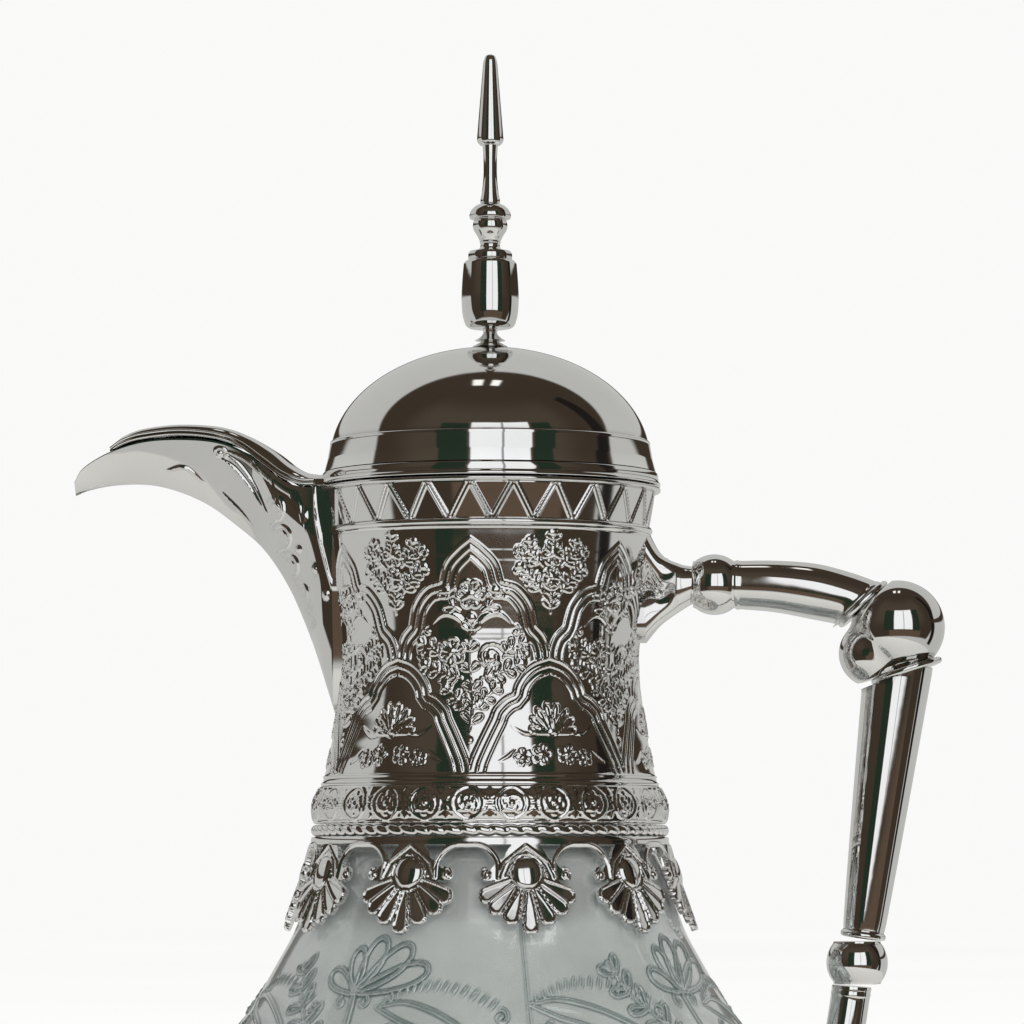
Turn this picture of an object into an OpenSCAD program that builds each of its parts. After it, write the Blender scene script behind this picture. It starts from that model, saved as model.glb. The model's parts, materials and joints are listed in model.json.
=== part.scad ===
// Dallah coffee pot: glass jug with a chromed neck, a lift-off lid, a beak spout and a jointed handle.
// Origin: centre of the foot's underside. +Z up, spout towards -X, handle towards +X.

/* [Glass jug] */
// Widest radius of the belly
belly_r = 80; // [79:0.5:81]
// Height of the widest point of the belly
belly_z = 49; // [47:1:51]
// Outer radius of the glass neck
glass_neck_r = 35; // [34:0.5:35.2]
// Height of the mouth of the glass
glass_top_z = 150; // [148:0.5:150]
// Wall of the pressed glass
glass_t = 4; // [3:0.5:5]

/* [Neck sleeve] */
// Height of the sleeve's top edge, where the lid lands
sleeve_top_z = 223.2; // [223:0.1:224]
// Radius of the sleeve at its waist
waist_r = 39.1; // [38.8:0.1:39.6]
// Radius of the lip round the sleeve's top edge
lip_r = 45.3; // [44.5:0.1:46]
// Wall of the chromed sleeve and shells
shell_t = 1.8; // [1.4:0.1:2]

/* [Collar] */
// Number of palmettes hanging from the collar
palmettes = 10; // [10:1:10]
// Radius of the lace at the palmettes' tips
lace_tip_r = 55.5; // [55:0.5:57]
// Lowest height of the palmettes' tips
lace_tip_z = 105.4; // [105:0.2:107]
// Thickness of the lace
lace_t = 1.3; // [1:0.1:1.6]

/* [Lid] */
// Radius of the dome at its ridge
dome_r = 42; // [41.5:0.5:42.5]
// Height of the ridge round the dome
dome_z = 236; // [235:0.5:237]
// Rise of the dome above its ridge
dome_rise = 25; // [23:0.5:26]
// Gap between the lid and the pieces that it lands on
seam = 0.3; // [0.3:0.1:0.5]

/* [Spout] */
// Half of the spout's width where it meets the neck
spout_half_w = 14; // [13:0.5:15]
// Wall of the spout
spout_t = 1.6; // [1.2:0.1:1.8]
// Wall of the cover over the spout
cover_t = 1.2; // [1:0.1:1.4]

/* [Handle] */
// Radius of the two turned balls on the handle
ball_r = 8; // [7.5:0.5:8.5]
// Radius of the elbow
elbow_r = 12.3; // [12:0.1:12.6]
// Radius of the grip at its upper end
grip_top_r = 9.2; // [8.8:0.1:9.6]
// Radius of the grip at its lower end
grip_low_r = 5.6; // [5.2:0.1:6]

/* [Base] */
// Radius of the rim of the base shell
base_rim_r = 83; // [82.5:0.5:84]
// Height of the rim of the base shell
base_rim_z = 44; // [43:0.5:45]
// Outer radius of the foot
foot_r = 67; // [65:1:69]

/* [Hidden] */
$fn = 72;
CHROME = [0.78, 0.78, 0.77];
STEEL = [0.62, 0.63, 0.64];
GLASS = [0.72, 0.78, 0.76, 0.6];
PLASTIC = [0.16, 0.16, 0.17];
SILICONE = [0.86, 0.86, 0.83];
RUBBER = [0.1, 0.1, 0.1];

// Fit gaps: between pieces of one body, and round a screw or the rod
fit = 0.1;
screw_gap = 0.05;
screw_r = 1.5;
small_screw_r = 1.3;
rod_r = 1.5;

// Heights where the finial's pieces meet, from the dome up
finial_low_z = 261;
cup_low_z = 264.9;
spool_low_z = 287.1;
bead_low_z = 289.4;
stem_low_z = 299.6;
tip_low_z = 315.3;
rod_low_z = 254.5;
rod_top_z = 294;
nut_z = 255.8;
nut_h = 2.4;
washer_t = 0.7;
peg_r = 1.15;
peg_h = 5.2;

// Lid pieces under the dome
lid_screw_ring_r = 38.4;
rim_step_z = 227.2;
plug_low_z = 214;
plug_top_z = 223.6;
plug_r = 33.6;
plug_inner_r = 31;
plug_groove_r = 32.6;
plug_groove = [216.6, 219.4];
plug_flange_r = 42.2;

// Pieces under the jug
pad_t = 1.5;
plate_low_z = 5.5;
plate_t = 2.4;
plate_r = 53.8;
plate_screw_ring_r = 46;
lace_wall = 1.1;
root_screw_z = [192, 203];
foot_screw_z = 37;

// Heights where the neck's pieces meet
skirt_low_z = 131;
rope_top_z = 134.3;
band_top_z = 144.5;
zigzag_low_z = 212.3;
lip_low_z = 222;
skirt_r = 43.4;
ring_bore_r = skirt_r + fit;
liner_r = 36.2;
liner_t = 2;
liner_top_z = 221;
window_low_z = 183;
window_top_z = 212;
window_half_w = 7;

// Glass from the middle of its underside to the mouth, as [radius, height]
glass_floor_z = 12;
glass_outline = concat([[0, glass_floor_z]], smooth([
    [38, glass_floor_z], [54, 14.5], [68, 22], [77, 34], [belly_r, belly_z], [78, 62], [73.2, 71],
    [66, 81.7], [60.8, 89.6], [56.2, 97.6], [51.8, 105.6], [49.4, 112], [47, 119], [44.6, 125],
    [41.4, 130], [38, 133.5], [36, 136.5], [glass_neck_r, 141], [glass_neck_r, glass_top_z]
], 2));
// Outside of the sleeve's waist, as [radius, height]
waist_outline = smooth([
    [44.4, 144.6], [42.6, 151.6], [40.9, 161.7], [waist_r + 0.4, 170.5], [waist_r, 177.5],
    [waist_r + 0.4, 184.5], [40.9, 197], [42.5, 211.2]
], 2);
// Outside of the lace collar, as [radius, height]
lace_outline = [[lace_tip_r, lace_tip_z], [52.2, 114], [49.4, 122], [47.3, 129.6]];
// Outside of the base shell, as [radius, height]
base_outline = smooth([[61, 8], [68, 13], [76, 23], [81, 33.5], [base_rim_r, base_rim_z]], 3);

// Spout from its tip to the neck: [rim x, rim z, underside x, underside z, half width]
spout_sections = smooth([
    [-112, 225.8, -112, 224.2, 2.2],
    [-109.2, 230.3, -107.5, 225.6, 3.2],
    [-102, 235, -101, 226.3, 4.3],
    [-93, 237.7, -92, 225.9, 5.5],
    [-83, 238.3, -84, 223.9, 6.8],
    [-73, 237.5, -76, 220.3, 8],
    [-66, 235, -69, 215.2, 9],
    [-59.5, 230.4, -61, 208.2, 10.3],
    [-54, 225.9, -54.5, 198.5, 11.8],
    [-49, 223.4, -49.5, 187.5, 13],
    [-44, sleeve_top_z, -44.5, 174, spout_half_w],
    [-40, sleeve_top_z, -41, 163, spout_half_w + 0.4]
], 2);
// Cover over the spout: [lower edge x, z, crown x, z, half width]
cover_sections = smooth([
    [-103, 235.2, -102.6, 236.4, 3.2],
    [-99, 236.9, -98.6, 239.3, 5],
    [-93, 238.4, -92.6, 241.2, 6.2],
    [-83, 238.9, -82.8, 242.2, 7.6],
    [-73, 238.1, -72, 241.5, 8.8],
    [-66, 235.6, -64.4, 238.9, 10],
    [-59.5, 231, -57.6, 234.9, 11.6],
    [-54, 226.6, -52.4, 230.6, 13],
    [-49, 224, -48, 228, 14.2],
    [-45, 223.6, -44.6, 226.9, 15]
], 2);
// Handle pieces as [upper edge x, z, lower edge x, z, half width]
root_sections = smooth([
    [54, 202.2, 54, 192.5, 4.8],
    [50.6, 202.9, 50.6, 189.9, 5.2],
    [45.6, 205.6, 45.6, 184.8, 6.8],
    [41.5, 213, 41.5, 178, 9.5]
], 3);
upper_sections = smooth([
    [65.2, 203.8, 65.2, 190.8, 6.5],
    [76, 203.8, 75.6, 189.8, 7],
    [86.6, 202.9, 85.2, 187.9, 7.5],
    [96, 200.4, 91.4, 186.6, 7.9],
    [103.3, 197.7, 90.7, 185.9, 8.2]
], 3);
tail_sections = smooth([
    [90, 92.6, 100.4, 91.8, 5.2],
    [88.4, 82.7, 98.8, 81.3, 5.2],
    [86, 70, 96.4, 68, 5.1],
    [84, 58.6, 93.8, 56.2, 5]
], 3);
foot_sections = smooth([
    [84.2, 58.4, 93.8, 56, 5],
    [84, 53, 93.2, 47.5, 6],
    [83.4, 48.5, 89, 37.5, 8],
    [81.6, 43, 79.5, 30.5, 9.5]
], 3);

// Elbow geometry, as [x, z]: centres, and the directions that its two collars face
elbow_at = [107.8, 185.9];
heel_at = [101, 179];
heel_r = 8.8;
top_collar_at = [98.1, 192.6];
top_collar_turn = -47;
bottom_collar_at = [109.7, 175.2];
bottom_collar_turn = -71.4;
collar_t = 1.6;
front_ball_at = [59.6, 197.4];
lower_ball_at = [96.6, 98.5];
grip_from = [107.9, 176.4];
grip_to = [98.1, 104.6];
// Side of the block that trims a ball or a tube to a flat end
cut = 60;

// Catmull-Rom curve through the points p, with n steps between neighbours
function blend(a, b, c, d, t) =
    0.5 * (2 * b + (c - a) * t + (2 * a - 5 * b + 4 * c - d) * t * t
        + (3 * b - a - 3 * c + d) * t * t * t);
function smooth(p, n) = [
    for (i = [0 : len(p) - 2], k = [0 : n - 1])
        blend(p[max(i - 1, 0)], p[i], p[i + 1], p[min(i + 2, len(p) - 1)], k / n),
    p[len(p) - 1]
];
// The outline p moved t towards the axis, for an outline that runs upwards
function heading(p, i) = let (v = p[min(i + 1, len(p) - 1)] - p[max(i - 1, 0)]) v / norm(v);
function inset(p, t) = [
    for (i = [0 : len(p) - 1]) let (v = heading(p, i)) [max(p[i][0] - t * v[1], 0), p[i][1] + t * v[0]]
];
function reversed(p) = [for (i = [len(p) - 1 : -1 : 0]) p[i]];
function wall(p, t) = concat(p, reversed(inset(p, t)));
// Radius of the sleeve's outside at a height
function sleeve_r(z) = lookup(z, [for (p = waist_outline) [p[1], p[0]]]);
function base_r(z) = lookup(z, [for (p = base_outline) [p[1], p[0]]]);

// An ellipse across a handle piece, from a section [x, z, x, z, half width]
function ellipse_ring(s, n) = [
    for (k = [0 : n - 1]) let (a = 360 * (k + 0.5) / n, m = (1 + cos(a)) / 2) [
        s[2] + m * (s[0] - s[2]), s[4] * sin(a), s[3] + m * (s[1] - s[3])
    ]
];
// A U-shaped ring: out along the outside of a channel and back along its inside
function channel_side(s, n) = [
    for (k = [0 : n]) let (a = 180 * k / n, d = pow(sin(a), 0.8)) [
        s[0] + d * (s[2] - s[0]), -s[4] * cos(a), s[1] + d * (s[3] - s[1])
    ]
];
function channel_ring(s, t, n) =
    let (
        deep = norm([s[2] - s[0], s[3] - s[1]]),
        side = min(t, 0.45 * s[4]),
        keep = 1 - min(t, 0.4 * deep) / deep,
        inner = [s[0], s[1], s[0] + keep * (s[2] - s[0]), s[1] + keep * (s[3] - s[1]), s[4] - side]
    )
    concat(channel_side(s, n), reversed(channel_side(inner, n)));
// A solid through rings of equal length, closed with a strip across each end
module skin(rings) {
    n = len(rings[0]);
    last = n * (len(rings) - 1);
    polyhedron(
        points = [for (r = rings, p = r) p],
        faces = concat(
            [
                for (i = [0 : len(rings) - 2], k = [0 : n - 1], half = [0, 1])
                    let (a = i * n + k, b = i * n + (k + 1) % n)
                    half == 0 ? [a, b, b + n] : [a, b + n, a + n]
            ],
            [
                for (k = [0 : n / 2 - 2], half = [0, 1])
                    half == 0 ? [k, n - 2 - k, k + 1] : [k, n - 1 - k, n - 2 - k]
            ],
            [
                for (k = [0 : n / 2 - 2], half = [0, 1])
                    half == 0 ? [last + k, last + k + 1, last + n - 2 - k]
                        : [last + k, last + n - 2 - k, last + n - 1 - k]
            ]
        )
    );
}
// A turned solid or shell from an outline of [radius, height]
module turned(outline) rotate_extrude() polygon(outline);
module ring_of(inner, outer, low, high) {
    turned([[inner, low], [outer, low], [outer, high], [inner, high]]);
}
// Places children with their +Z along the direction at turn degrees above +X, in the XZ plane
module aim(at, turn) translate([at[0], 0, at[1]]) rotate([0, 90 - turn, 0]) children();
module screw(r, length, head_r, head_h) {
    cylinder(r = r, h = length);
    translate([0, 0, -head_h]) cylinder(r = head_r, h = head_h);
}

// Finial, from the top
module rod_bore(low, high) translate([0, 0, low - 1]) cylinder(r = rod_r + screw_gap, h = high - low + 2);
module finial_tip() color(CHROME) difference() {
    turned([
        [0, tip_low_z], [2.6, tip_low_z], [3.6, 316.4], [3.3, 320], [1.9, 338.4], [1.4, 339.6], [0, 340]
    ]);
    translate([0, 0, tip_low_z - 1]) cylinder(r = peg_r + screw_gap, h = peg_h + 1.5);
}
module finial_stem() color(CHROME) union() {
    turned([
        [0, stem_low_z], [2.65, stem_low_z], [2.4, 301.4], [1.9, 306.5], [1.95, 309], [2.3, 312.5],
        [2.6, 314.4], [2.6, tip_low_z], [0, tip_low_z]
    ]);
    translate([0, 0, tip_low_z]) cylinder(r = peg_r, h = peg_h);
}
module finial_bead() color(CHROME) difference() {
    turned([
        [0, bead_low_z], [2.7, bead_low_z], [4.6, 291.8], [5.1, 293.6], [5.6, 294.4], [5.5, 296],
        [4.7, 298], [3.1, 299.4], [0, stem_low_z]
    ]);
    rod_bore(bead_low_z, rod_top_z - 0.8);
}
module finial_spool() color(CHROME) difference() {
    turned([
        [0, spool_low_z], [3.4, spool_low_z], [2.6, 287.8], [2.6, 288.8], [2.9, bead_low_z],
        [0, bead_low_z]
    ]);
    rod_bore(spool_low_z, bead_low_z);
}
module finial_cup() color(CHROME) difference() {
    turned([
        [0, cup_low_z], [2.7, cup_low_z], [4.6, 265.4], [6.4, 266.6], [7.4, 268.8], [7.7, 272.5],
        [7.1, 284], [5.9, 284.6], [5.9, 286.6], [5.3, spool_low_z], [0, spool_low_z]
    ]);
    rod_bore(cup_low_z, spool_low_z);
}
module finial_base() color(CHROME) difference() {
    turned([
        [0, finial_low_z], [2.4, finial_low_z], [4.9, 261.7], [3.4, 262.3], [4.4, 263],
        [2.7, cup_low_z], [0, cup_low_z]
    ]);
    rod_bore(finial_low_z, cup_low_z);
}
module finial_rod() color(STEEL) translate([0, 0, rod_low_z]) {
    cylinder(r = rod_r, h = rod_top_z - rod_low_z);
}
module finial_washer() color(STEEL) {
    ring_of(rod_r + fit, 4.2, nut_z + nut_h, nut_z + nut_h + washer_t);
}
module finial_nut() color(STEEL) difference() {
    translate([0, 0, nut_z]) cylinder(r = 3.2, h = nut_h, $fn = 6);
    rod_bore(nut_z, nut_z + nut_h);
}

// Lid
module lid_screw_bores(low) for (a = [60 : 120 : 300]) rotate(a) {
    translate([lid_screw_ring_r, 0, low]) cylinder(r = small_screw_r + screw_gap, h = 5);
}
module lid_dome() color(CHROME) difference() {
    turned(wall(concat(
        [[44.3, rim_step_z + 0.5], [dome_r + 0.3, dome_z - 0.6], [dome_r + 0.3, dome_z]],
        [for (a = [6 : 7 : 83]) [dome_r * cos(a), dome_z + dome_rise * sin(a)]],
        [[0, dome_z + dome_rise]]
    ), shell_t));
    translate([0, 0, dome_z]) cylinder(r = rod_r + fit, h = dome_rise + 5);
}
module lid_rim() color(CHROME) difference() {
    turned([
        [36, 225.8], [42.5, 225.8], [42.5, sleeve_top_z + seam], [lip_r, sleeve_top_z + seam],
        [lip_r, 224.4], [44.5, rim_step_z], [41, rim_step_z], [41, 229], [36, 229]
    ]);
    lid_screw_bores(225);
}
module spout_cover() {
    rings = [for (s = cover_sections) channel_ring(s, cover_t, 12)];
    last = [for (p = rings[len(rings) - 1]) [-sqrt(44 * 44 - p[1] * p[1]), p[1], p[2]]];
    color(CHROME) skin(concat(rings, [last]));
}
module lid_plug() color(PLASTIC) difference() {
    turned([
        [0, plug_top_z], [0, 225.7], [plug_flange_r, 225.7], [plug_flange_r, plug_top_z],
        [plug_r, plug_top_z], [plug_r, plug_groove[1]], [plug_groove_r, plug_groove[1]],
        [plug_groove_r, plug_groove[0]], [plug_r, plug_groove[0]], [plug_r, plug_low_z],
        [plug_inner_r, plug_low_z], [plug_inner_r, plug_top_z]
    ]);
    lid_screw_bores(223);
}
module lid_gasket() color(SILICONE) {
    ring_of(plug_groove_r + fit, plug_r + 0.3, plug_groove[0] + fit, plug_groove[1] - fit);
}
module lid_screws() color(STEEL) for (a = [60 : 120 : 300]) rotate(a) {
    translate([lid_screw_ring_r, 0, plug_top_z]) screw(small_screw_r, 5, 2.4, 1.2);
}

// Neck
module neck_sleeve() {
    outside = concat(
        [[skirt_r, skirt_low_z], [skirt_r, band_top_z + fit]],
        waist_outline,
        [
            [43.5, 211.4], [43.5, zigzag_low_z], [43.1, zigzag_low_z + 0.2], [43.3, lip_low_z],
            [lip_r, lip_low_z + 0.3], [lip_r, sleeve_top_z]
        ]
    );
    inside = concat(
        [[skirt_r - shell_t, skirt_low_z], [skirt_r - shell_t, band_top_z]],
        inset(waist_outline, shell_t),
        [[41.2, zigzag_low_z], [41.2, sleeve_top_z]]
    );
    color(CHROME) difference() {
        turned(concat(outside, reversed(inside)));
        translate([-50, -window_half_w, window_low_z - 1]) {
            cube([20, 2 * window_half_w, window_top_z - window_low_z + 2]);
        }
        for (z = root_screw_z) aim([30, z], 0) cylinder(r = screw_r + fit, h = 20);
    }
}
module spout() {
    rings = [for (s = spout_sections) channel_ring(s, spout_t, 14)];
    last = [
        for (p = rings[len(rings) - 1])
            let (r = sleeve_r(p[2]) - shell_t / 2) [-sqrt(r * r - p[1] * p[1]), p[1], p[2]]
    ];
    color(CHROME) skin(concat(rings, [last]));
}
module neck_liner() color(PLASTIC) difference() {
    turned([
        [liner_r - liner_t, 151.2], [39.8, 151.2], [39.8, 153], [liner_r, 153],
        [liner_r, liner_top_z - 2], [41, liner_top_z - 2], [41, liner_top_z],
        [liner_r - liner_t, liner_top_z]
    ]);
    translate([-50, -window_half_w, window_low_z]) {
        cube([30, 2 * window_half_w, window_top_z - window_low_z]);
    }
}
module window_seal() color(SILICONE) difference() {
    intersection() {
        turned(concat(inset(waist_outline, shell_t + fit), [[0, 211], [0, 150]]));
        translate([-50, -window_half_w - 2, window_low_z - 3]) {
            cube([20, 2 * window_half_w + 4, window_top_z - window_low_z + 2]);
        }
    }
    cylinder(r = liner_r + fit, h = 250);
    translate([-50, -window_half_w, window_low_z]) cube([30, 2 * window_half_w, 25]);
}
module mouth_gasket() color(SILICONE) ring_of(31.5, glass_neck_r, glass_top_z + 0.1, 151.1);
module clamp_ring() color(PLASTIC) ring_of(glass_neck_r + fit, 41.3, 141, 148);
module scroll_band() color(CHROME) turned([
    [ring_bore_r, rope_top_z + fit], [46.5, rope_top_z + fit], [47.1, 136.8], [47, 139.6],
    [45.7, 142.6], [44.4, band_top_z], [ring_bore_r, band_top_z]
]);
module rope_ring() color(CHROME) turned(concat(
    [[ring_bore_r, rope_top_z], [ring_bore_r, 131.1]],
    [for (a = [-80 : 20 : 80]) [45.7 + 1.65 * cos(a), 132.7 + 1.6 * sin(a)]]
));

// Space between two palmettes, as [sideways, height], for the half on one side
gap_half = [
    [0, 128.9], [3.6, 128.4], [6.5, 126.6], [7.8, 123.6], [7.2, 120.6], [4, 118.6], [2.2, 117],
    [3, 114.4], [5.2, 111.6], [9.2, 108.4], [15.4, 104]
];
module lace_collar() color(CHROME) difference() {
    turned(concat(
        lace_outline,
        [[46.9, skirt_low_z], [ring_bore_r, skirt_low_z], [ring_bore_r, 129.4]],
        reversed(inset(lace_outline, lace_t))
    ));
    for (k = [0 : palmettes - 1]) rotate((k + 0.5) * 360 / palmettes) translate([40, 0, 0]) {
        rotate([90, 0, 90]) linear_extrude(height = 20) {
            polygon(concat(gap_half, [for (p = reversed(gap_half)) if (p[0] > 0) [-p[0], p[1]]]));
        }
    }
}
module glass_body() color(GLASS) turned(wall(glass_outline, glass_t));

// Handle
module handle_root() {
    rings = [for (s = root_sections) ellipse_ring(s, 24)];
    last = [
        for (p = rings[len(rings) - 1])
            let (r = sleeve_r(p[2]) - shell_t / 2) [sqrt(r * r - p[1] * p[1]), p[1], p[2]]
    ];
    color(CHROME) difference() {
        skin([for (r = concat(rings, [last])) reversed(r)]);
        for (z = root_screw_z) aim([30, z], 0) cylinder(r = screw_r + screw_gap, h = 17.5);
    }
}
module root_screws() color(STEEL) {
    aim([37.9, root_screw_z[0]], 0) screw(screw_r, 9, 2.5, 1.2);
    aim([39.2, root_screw_z[1]], 0) screw(screw_r, 8, 2.5, 1.2);
}
module front_ball() color(CHROME) intersection() {
    translate([front_ball_at[0], 0, front_ball_at[1]]) sphere(r = ball_r);
    translate([54.1, -cut / 2, 180]) cube([11, cut, 40]);
}
module upper_tube() color(CHROME) skin([for (s = upper_sections) reversed(ellipse_ring(s, 24))]);
module top_collar() color(CHROME) aim(top_collar_at, top_collar_turn) cylinder(r = 9.4, h = collar_t);
module elbow() color(CHROME) difference() {
    union() {
        translate([elbow_at[0], 0, elbow_at[1]]) sphere(r = elbow_r);
        translate([heel_at[0], 0, heel_at[1]]) sphere(r = heel_r);
    }
    aim(top_collar_at, top_collar_turn) {
        translate([-cut / 2, -cut / 2, collar_t + fit - cut]) cube(cut);
    }
    aim(bottom_collar_at, bottom_collar_turn) translate([-cut / 2, -cut / 2, -fit]) cube(cut);
}
module bottom_collar() color(CHROME) aim(bottom_collar_at, bottom_collar_turn) {
    cylinder(r = 10.2, h = collar_t);
}
module grip_tube() {
    drop = grip_from - grip_to;
    color(CHROME) difference() {
        aim(grip_to, atan2(drop[1], drop[0])) cylinder(r1 = grip_low_r, r2 = grip_top_r, h = norm(drop));
        aim(bottom_collar_at, bottom_collar_turn) {
            translate([-cut / 2, -cut / 2, collar_t + fit - cut]) cube(cut);
        }
    }
}
module lower_ball() color(CHROME) intersection() {
    translate([lower_ball_at[0], 0, lower_ball_at[1]]) sphere(r = ball_r);
    translate([70, -cut / 2, 92.8]) cube([cut, cut, 11]);
}
module tail_tube() color(CHROME) skin([for (s = tail_sections) ellipse_ring(s, 20)]);
module handle_foot() {
    rings = [for (s = foot_sections) ellipse_ring(s, 20)];
    last = [
        for (p = rings[len(rings) - 1])
            let (r = base_r(p[2]) - shell_t / 2) [sqrt(r * r - p[1] * p[1]), p[1], p[2]]
    ];
    color(CHROME) difference() {
        skin(concat(rings, [last]));
        aim([70, foot_screw_z], 0) cylinder(r = screw_r + screw_gap, h = 17);
    }
}
module foot_screw() color(STEEL) aim([79.55, foot_screw_z], 0) screw(screw_r, 6.5, 2, 0.7);

// Base
// Space between two of the base's palmettes, as [sideways, height]
base_gap = [[0, -2.5], [3.4, 0], [2.4, 2.6], [12, 14], [-12, 14], [-2.4, 2.6], [-3.4, 0]];
module plate_screw_bores(low) for (a = [45 : 90 : 315]) rotate(a) {
    translate([plate_screw_ring_r, 0, low]) cylinder(r = screw_r + screw_gap, h = 4);
}
module base_lace() color(CHROME) difference() {
    turned(wall([[82.9, base_rim_z + 2.2], [82.6, 51], [81.6, 56], [79.9, 61.6]], lace_wall));
    for (k = [0 : 2 * palmettes - 1]) rotate((k + 0.5) * 180 / palmettes) translate([70, 0, 52]) {
        rotate([90, 0, 90]) linear_extrude(height = 20) polygon(base_gap);
    }
}
module base_rope() color(CHROME) turned([
    [81.4, base_rim_z + 0.5], [83.6, base_rim_z + 0.5], [84, base_rim_z + 1.2],
    [83.6, base_rim_z + 2.1], [81.4, base_rim_z + 2.1]
]);
module base_shell() color(CHROME) difference() {
    turned(concat([[0, 8]], base_outline, reversed(inset(base_outline, shell_t)), [[56, 10], [0, 10]]));
    aim([60, foot_screw_z], 0) cylinder(r = screw_r + fit, h = 40);
    plate_screw_bores(7);
}
module base_cushion() color(SILICONE) ring_of(24, 40, 10, glass_floor_z);
module foot_ring() color(CHROME) turned([
    [54, pad_t + fit], [foot_r - 0.6, pad_t + fit], [foot_r, 2.2], [foot_r - 1.6, 5], [61, 7.9], [54, 7.9]
]);
module base_plate() color(PLASTIC) difference() {
    ring_of(0, plate_r, plate_low_z, plate_low_z + plate_t);
    plate_screw_bores(plate_low_z - 0.5);
}
module base_screws() color(STEEL) for (a = [45 : 90 : 315]) rotate(a) {
    translate([plate_screw_ring_r, 0, plate_low_z]) screw(screw_r, 4, 2.8, 1.4);
}
module foot_pad() color(RUBBER) {
    turned([[0, 0], [foot_r - 2, 0], [foot_r - 1.2, 0.6], [foot_r - 1.2, pad_t], [0, pad_t]]);
}

finial_tip();
finial_stem();
finial_bead();
finial_spool();
finial_cup();
finial_base();
finial_rod();
finial_washer();
finial_nut();
lid_dome();
lid_rim();
spout_cover();
lid_plug();
lid_gasket();
lid_screws();
neck_sleeve();
spout();
neck_liner();
window_seal();
mouth_gasket();
clamp_ring();
scroll_band();
rope_ring();
lace_collar();
glass_body();
handle_root();
root_screws();
front_ball();
upper_tube();
top_collar();
elbow();
bottom_collar();
grip_tube();
lower_ball();
tail_tube();
handle_foot();
foot_screw();
base_lace();
base_rope();
base_shell();
base_cushion();
foot_ring();
base_plate();
base_screws();
foot_pad();
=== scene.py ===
"""Looks of the dallah coffee pot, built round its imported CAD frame. Shapes are worked in millimetres."""

import json
import math

import bmesh
import bpy
import numpy as np
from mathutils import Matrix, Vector

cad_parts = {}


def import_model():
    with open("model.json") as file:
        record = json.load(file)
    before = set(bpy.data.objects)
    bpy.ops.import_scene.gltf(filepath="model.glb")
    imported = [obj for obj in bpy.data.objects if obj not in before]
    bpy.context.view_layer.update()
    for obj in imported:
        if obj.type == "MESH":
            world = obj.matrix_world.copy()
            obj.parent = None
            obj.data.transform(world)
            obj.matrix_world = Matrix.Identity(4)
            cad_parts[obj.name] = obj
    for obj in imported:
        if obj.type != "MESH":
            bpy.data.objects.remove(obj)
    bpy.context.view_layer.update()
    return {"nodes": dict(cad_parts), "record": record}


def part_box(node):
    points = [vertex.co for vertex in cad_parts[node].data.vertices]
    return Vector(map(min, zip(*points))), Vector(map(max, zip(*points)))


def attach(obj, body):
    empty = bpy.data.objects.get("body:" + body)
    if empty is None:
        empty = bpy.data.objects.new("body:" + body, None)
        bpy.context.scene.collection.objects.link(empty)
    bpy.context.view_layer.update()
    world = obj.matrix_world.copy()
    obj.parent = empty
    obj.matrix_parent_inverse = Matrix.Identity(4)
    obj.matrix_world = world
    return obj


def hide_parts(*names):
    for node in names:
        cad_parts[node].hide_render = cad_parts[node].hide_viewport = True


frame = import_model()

MM = 0.001
PI = math.pi
SIDES = (-1, 1)


# ---------- Measures taken from the frame ----------

def span(node):
    """(lowest, highest) corner of a CAD node, in millimetres."""
    low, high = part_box(node)
    return np.array(low) / MM, np.array(high) / MM


def levels(node):
    """(lowest, highest) height of a CAD node."""
    return [corner[2] for corner in span(node)]


def outline(node, low=-1e9, high=1e9):
    """[radius, height] rows of the outside of a turned CAD node, from the rings of its own mesh."""
    mesh = frame["nodes"][node].data
    co = np.empty(len(mesh.vertices) * 3)
    mesh.vertices.foreach_get("co", co)
    co = co.reshape(-1, 3) / MM
    z = np.round(co[:, 2], 1)
    r = np.hypot(co[:, 0], co[:, 1])
    return np.array([(r[z == v].max(), v) for v in np.unique(z) if low <= v <= high])


def hull(node, low, high, dip):
    """The outline without the rings that fall short of their neighbours by dip."""
    rows = outline(node, low, high)
    while True:
        r, z = rows.T
        dips = [np.interp(b, [a, c], [ra, rc]) - rb for a, b, c, ra, rb, rc in zip(z, z[1:], z[2:], r, r[1:], r[2:])]
        if max(dips) < dip:
            return rows
        rows = np.delete(rows, int(np.argmax(dips)) + 1, axis=0)


# The neck between the scroll band and the zigzag band
WAIST = hull("neck_sleeve", 144.6, 211.2, 0.5)


# ---------- Curves ----------

def smooth(points, steps):
    """Catmull-Rom curve through points, with that many steps between neighbours."""
    p = np.asarray(points, float)
    p = np.vstack([2 * p[0] - p[1], p, 2 * p[-1] - p[-2]])
    t = np.linspace(0, 1, steps, endpoint=False)[:, None]
    bits = [0.5 * (2 * b + (c - a) * t + (2 * a - 5 * b + 4 * c - d) * t ** 2 + (3 * b - a - 3 * c + d) * t ** 3)
            for a, b, c, d in zip(p, p[1:], p[2:], p[3:])]
    return np.vstack(bits + [p[-2:-1]])


def rounded(points, radius=0.25, steps=4):
    """A [radius, height] outline with its corners rounded. A third number gives a corner its own radius."""
    flat = [np.array(q[:2], float) for q in points]
    out = flat[:1]
    for before, corner, after, at in zip(flat, flat[1:], flat[2:], points[1:]):
        back, on = before - corner, after - corner
        far, near = np.linalg.norm(back), np.linalg.norm(on)
        reach = min(at[2] if len(at) > 2 else radius, 0.45 * far, 0.45 * near)
        start, end = corner + back / far * reach, corner + on / near * reach
        for t in np.linspace(0, 1, steps):
            out.append((1 - t) ** 2 * start + 2 * t * (1 - t) * corner + t * t * end)
    return np.array(out + flat[-1:])


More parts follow.
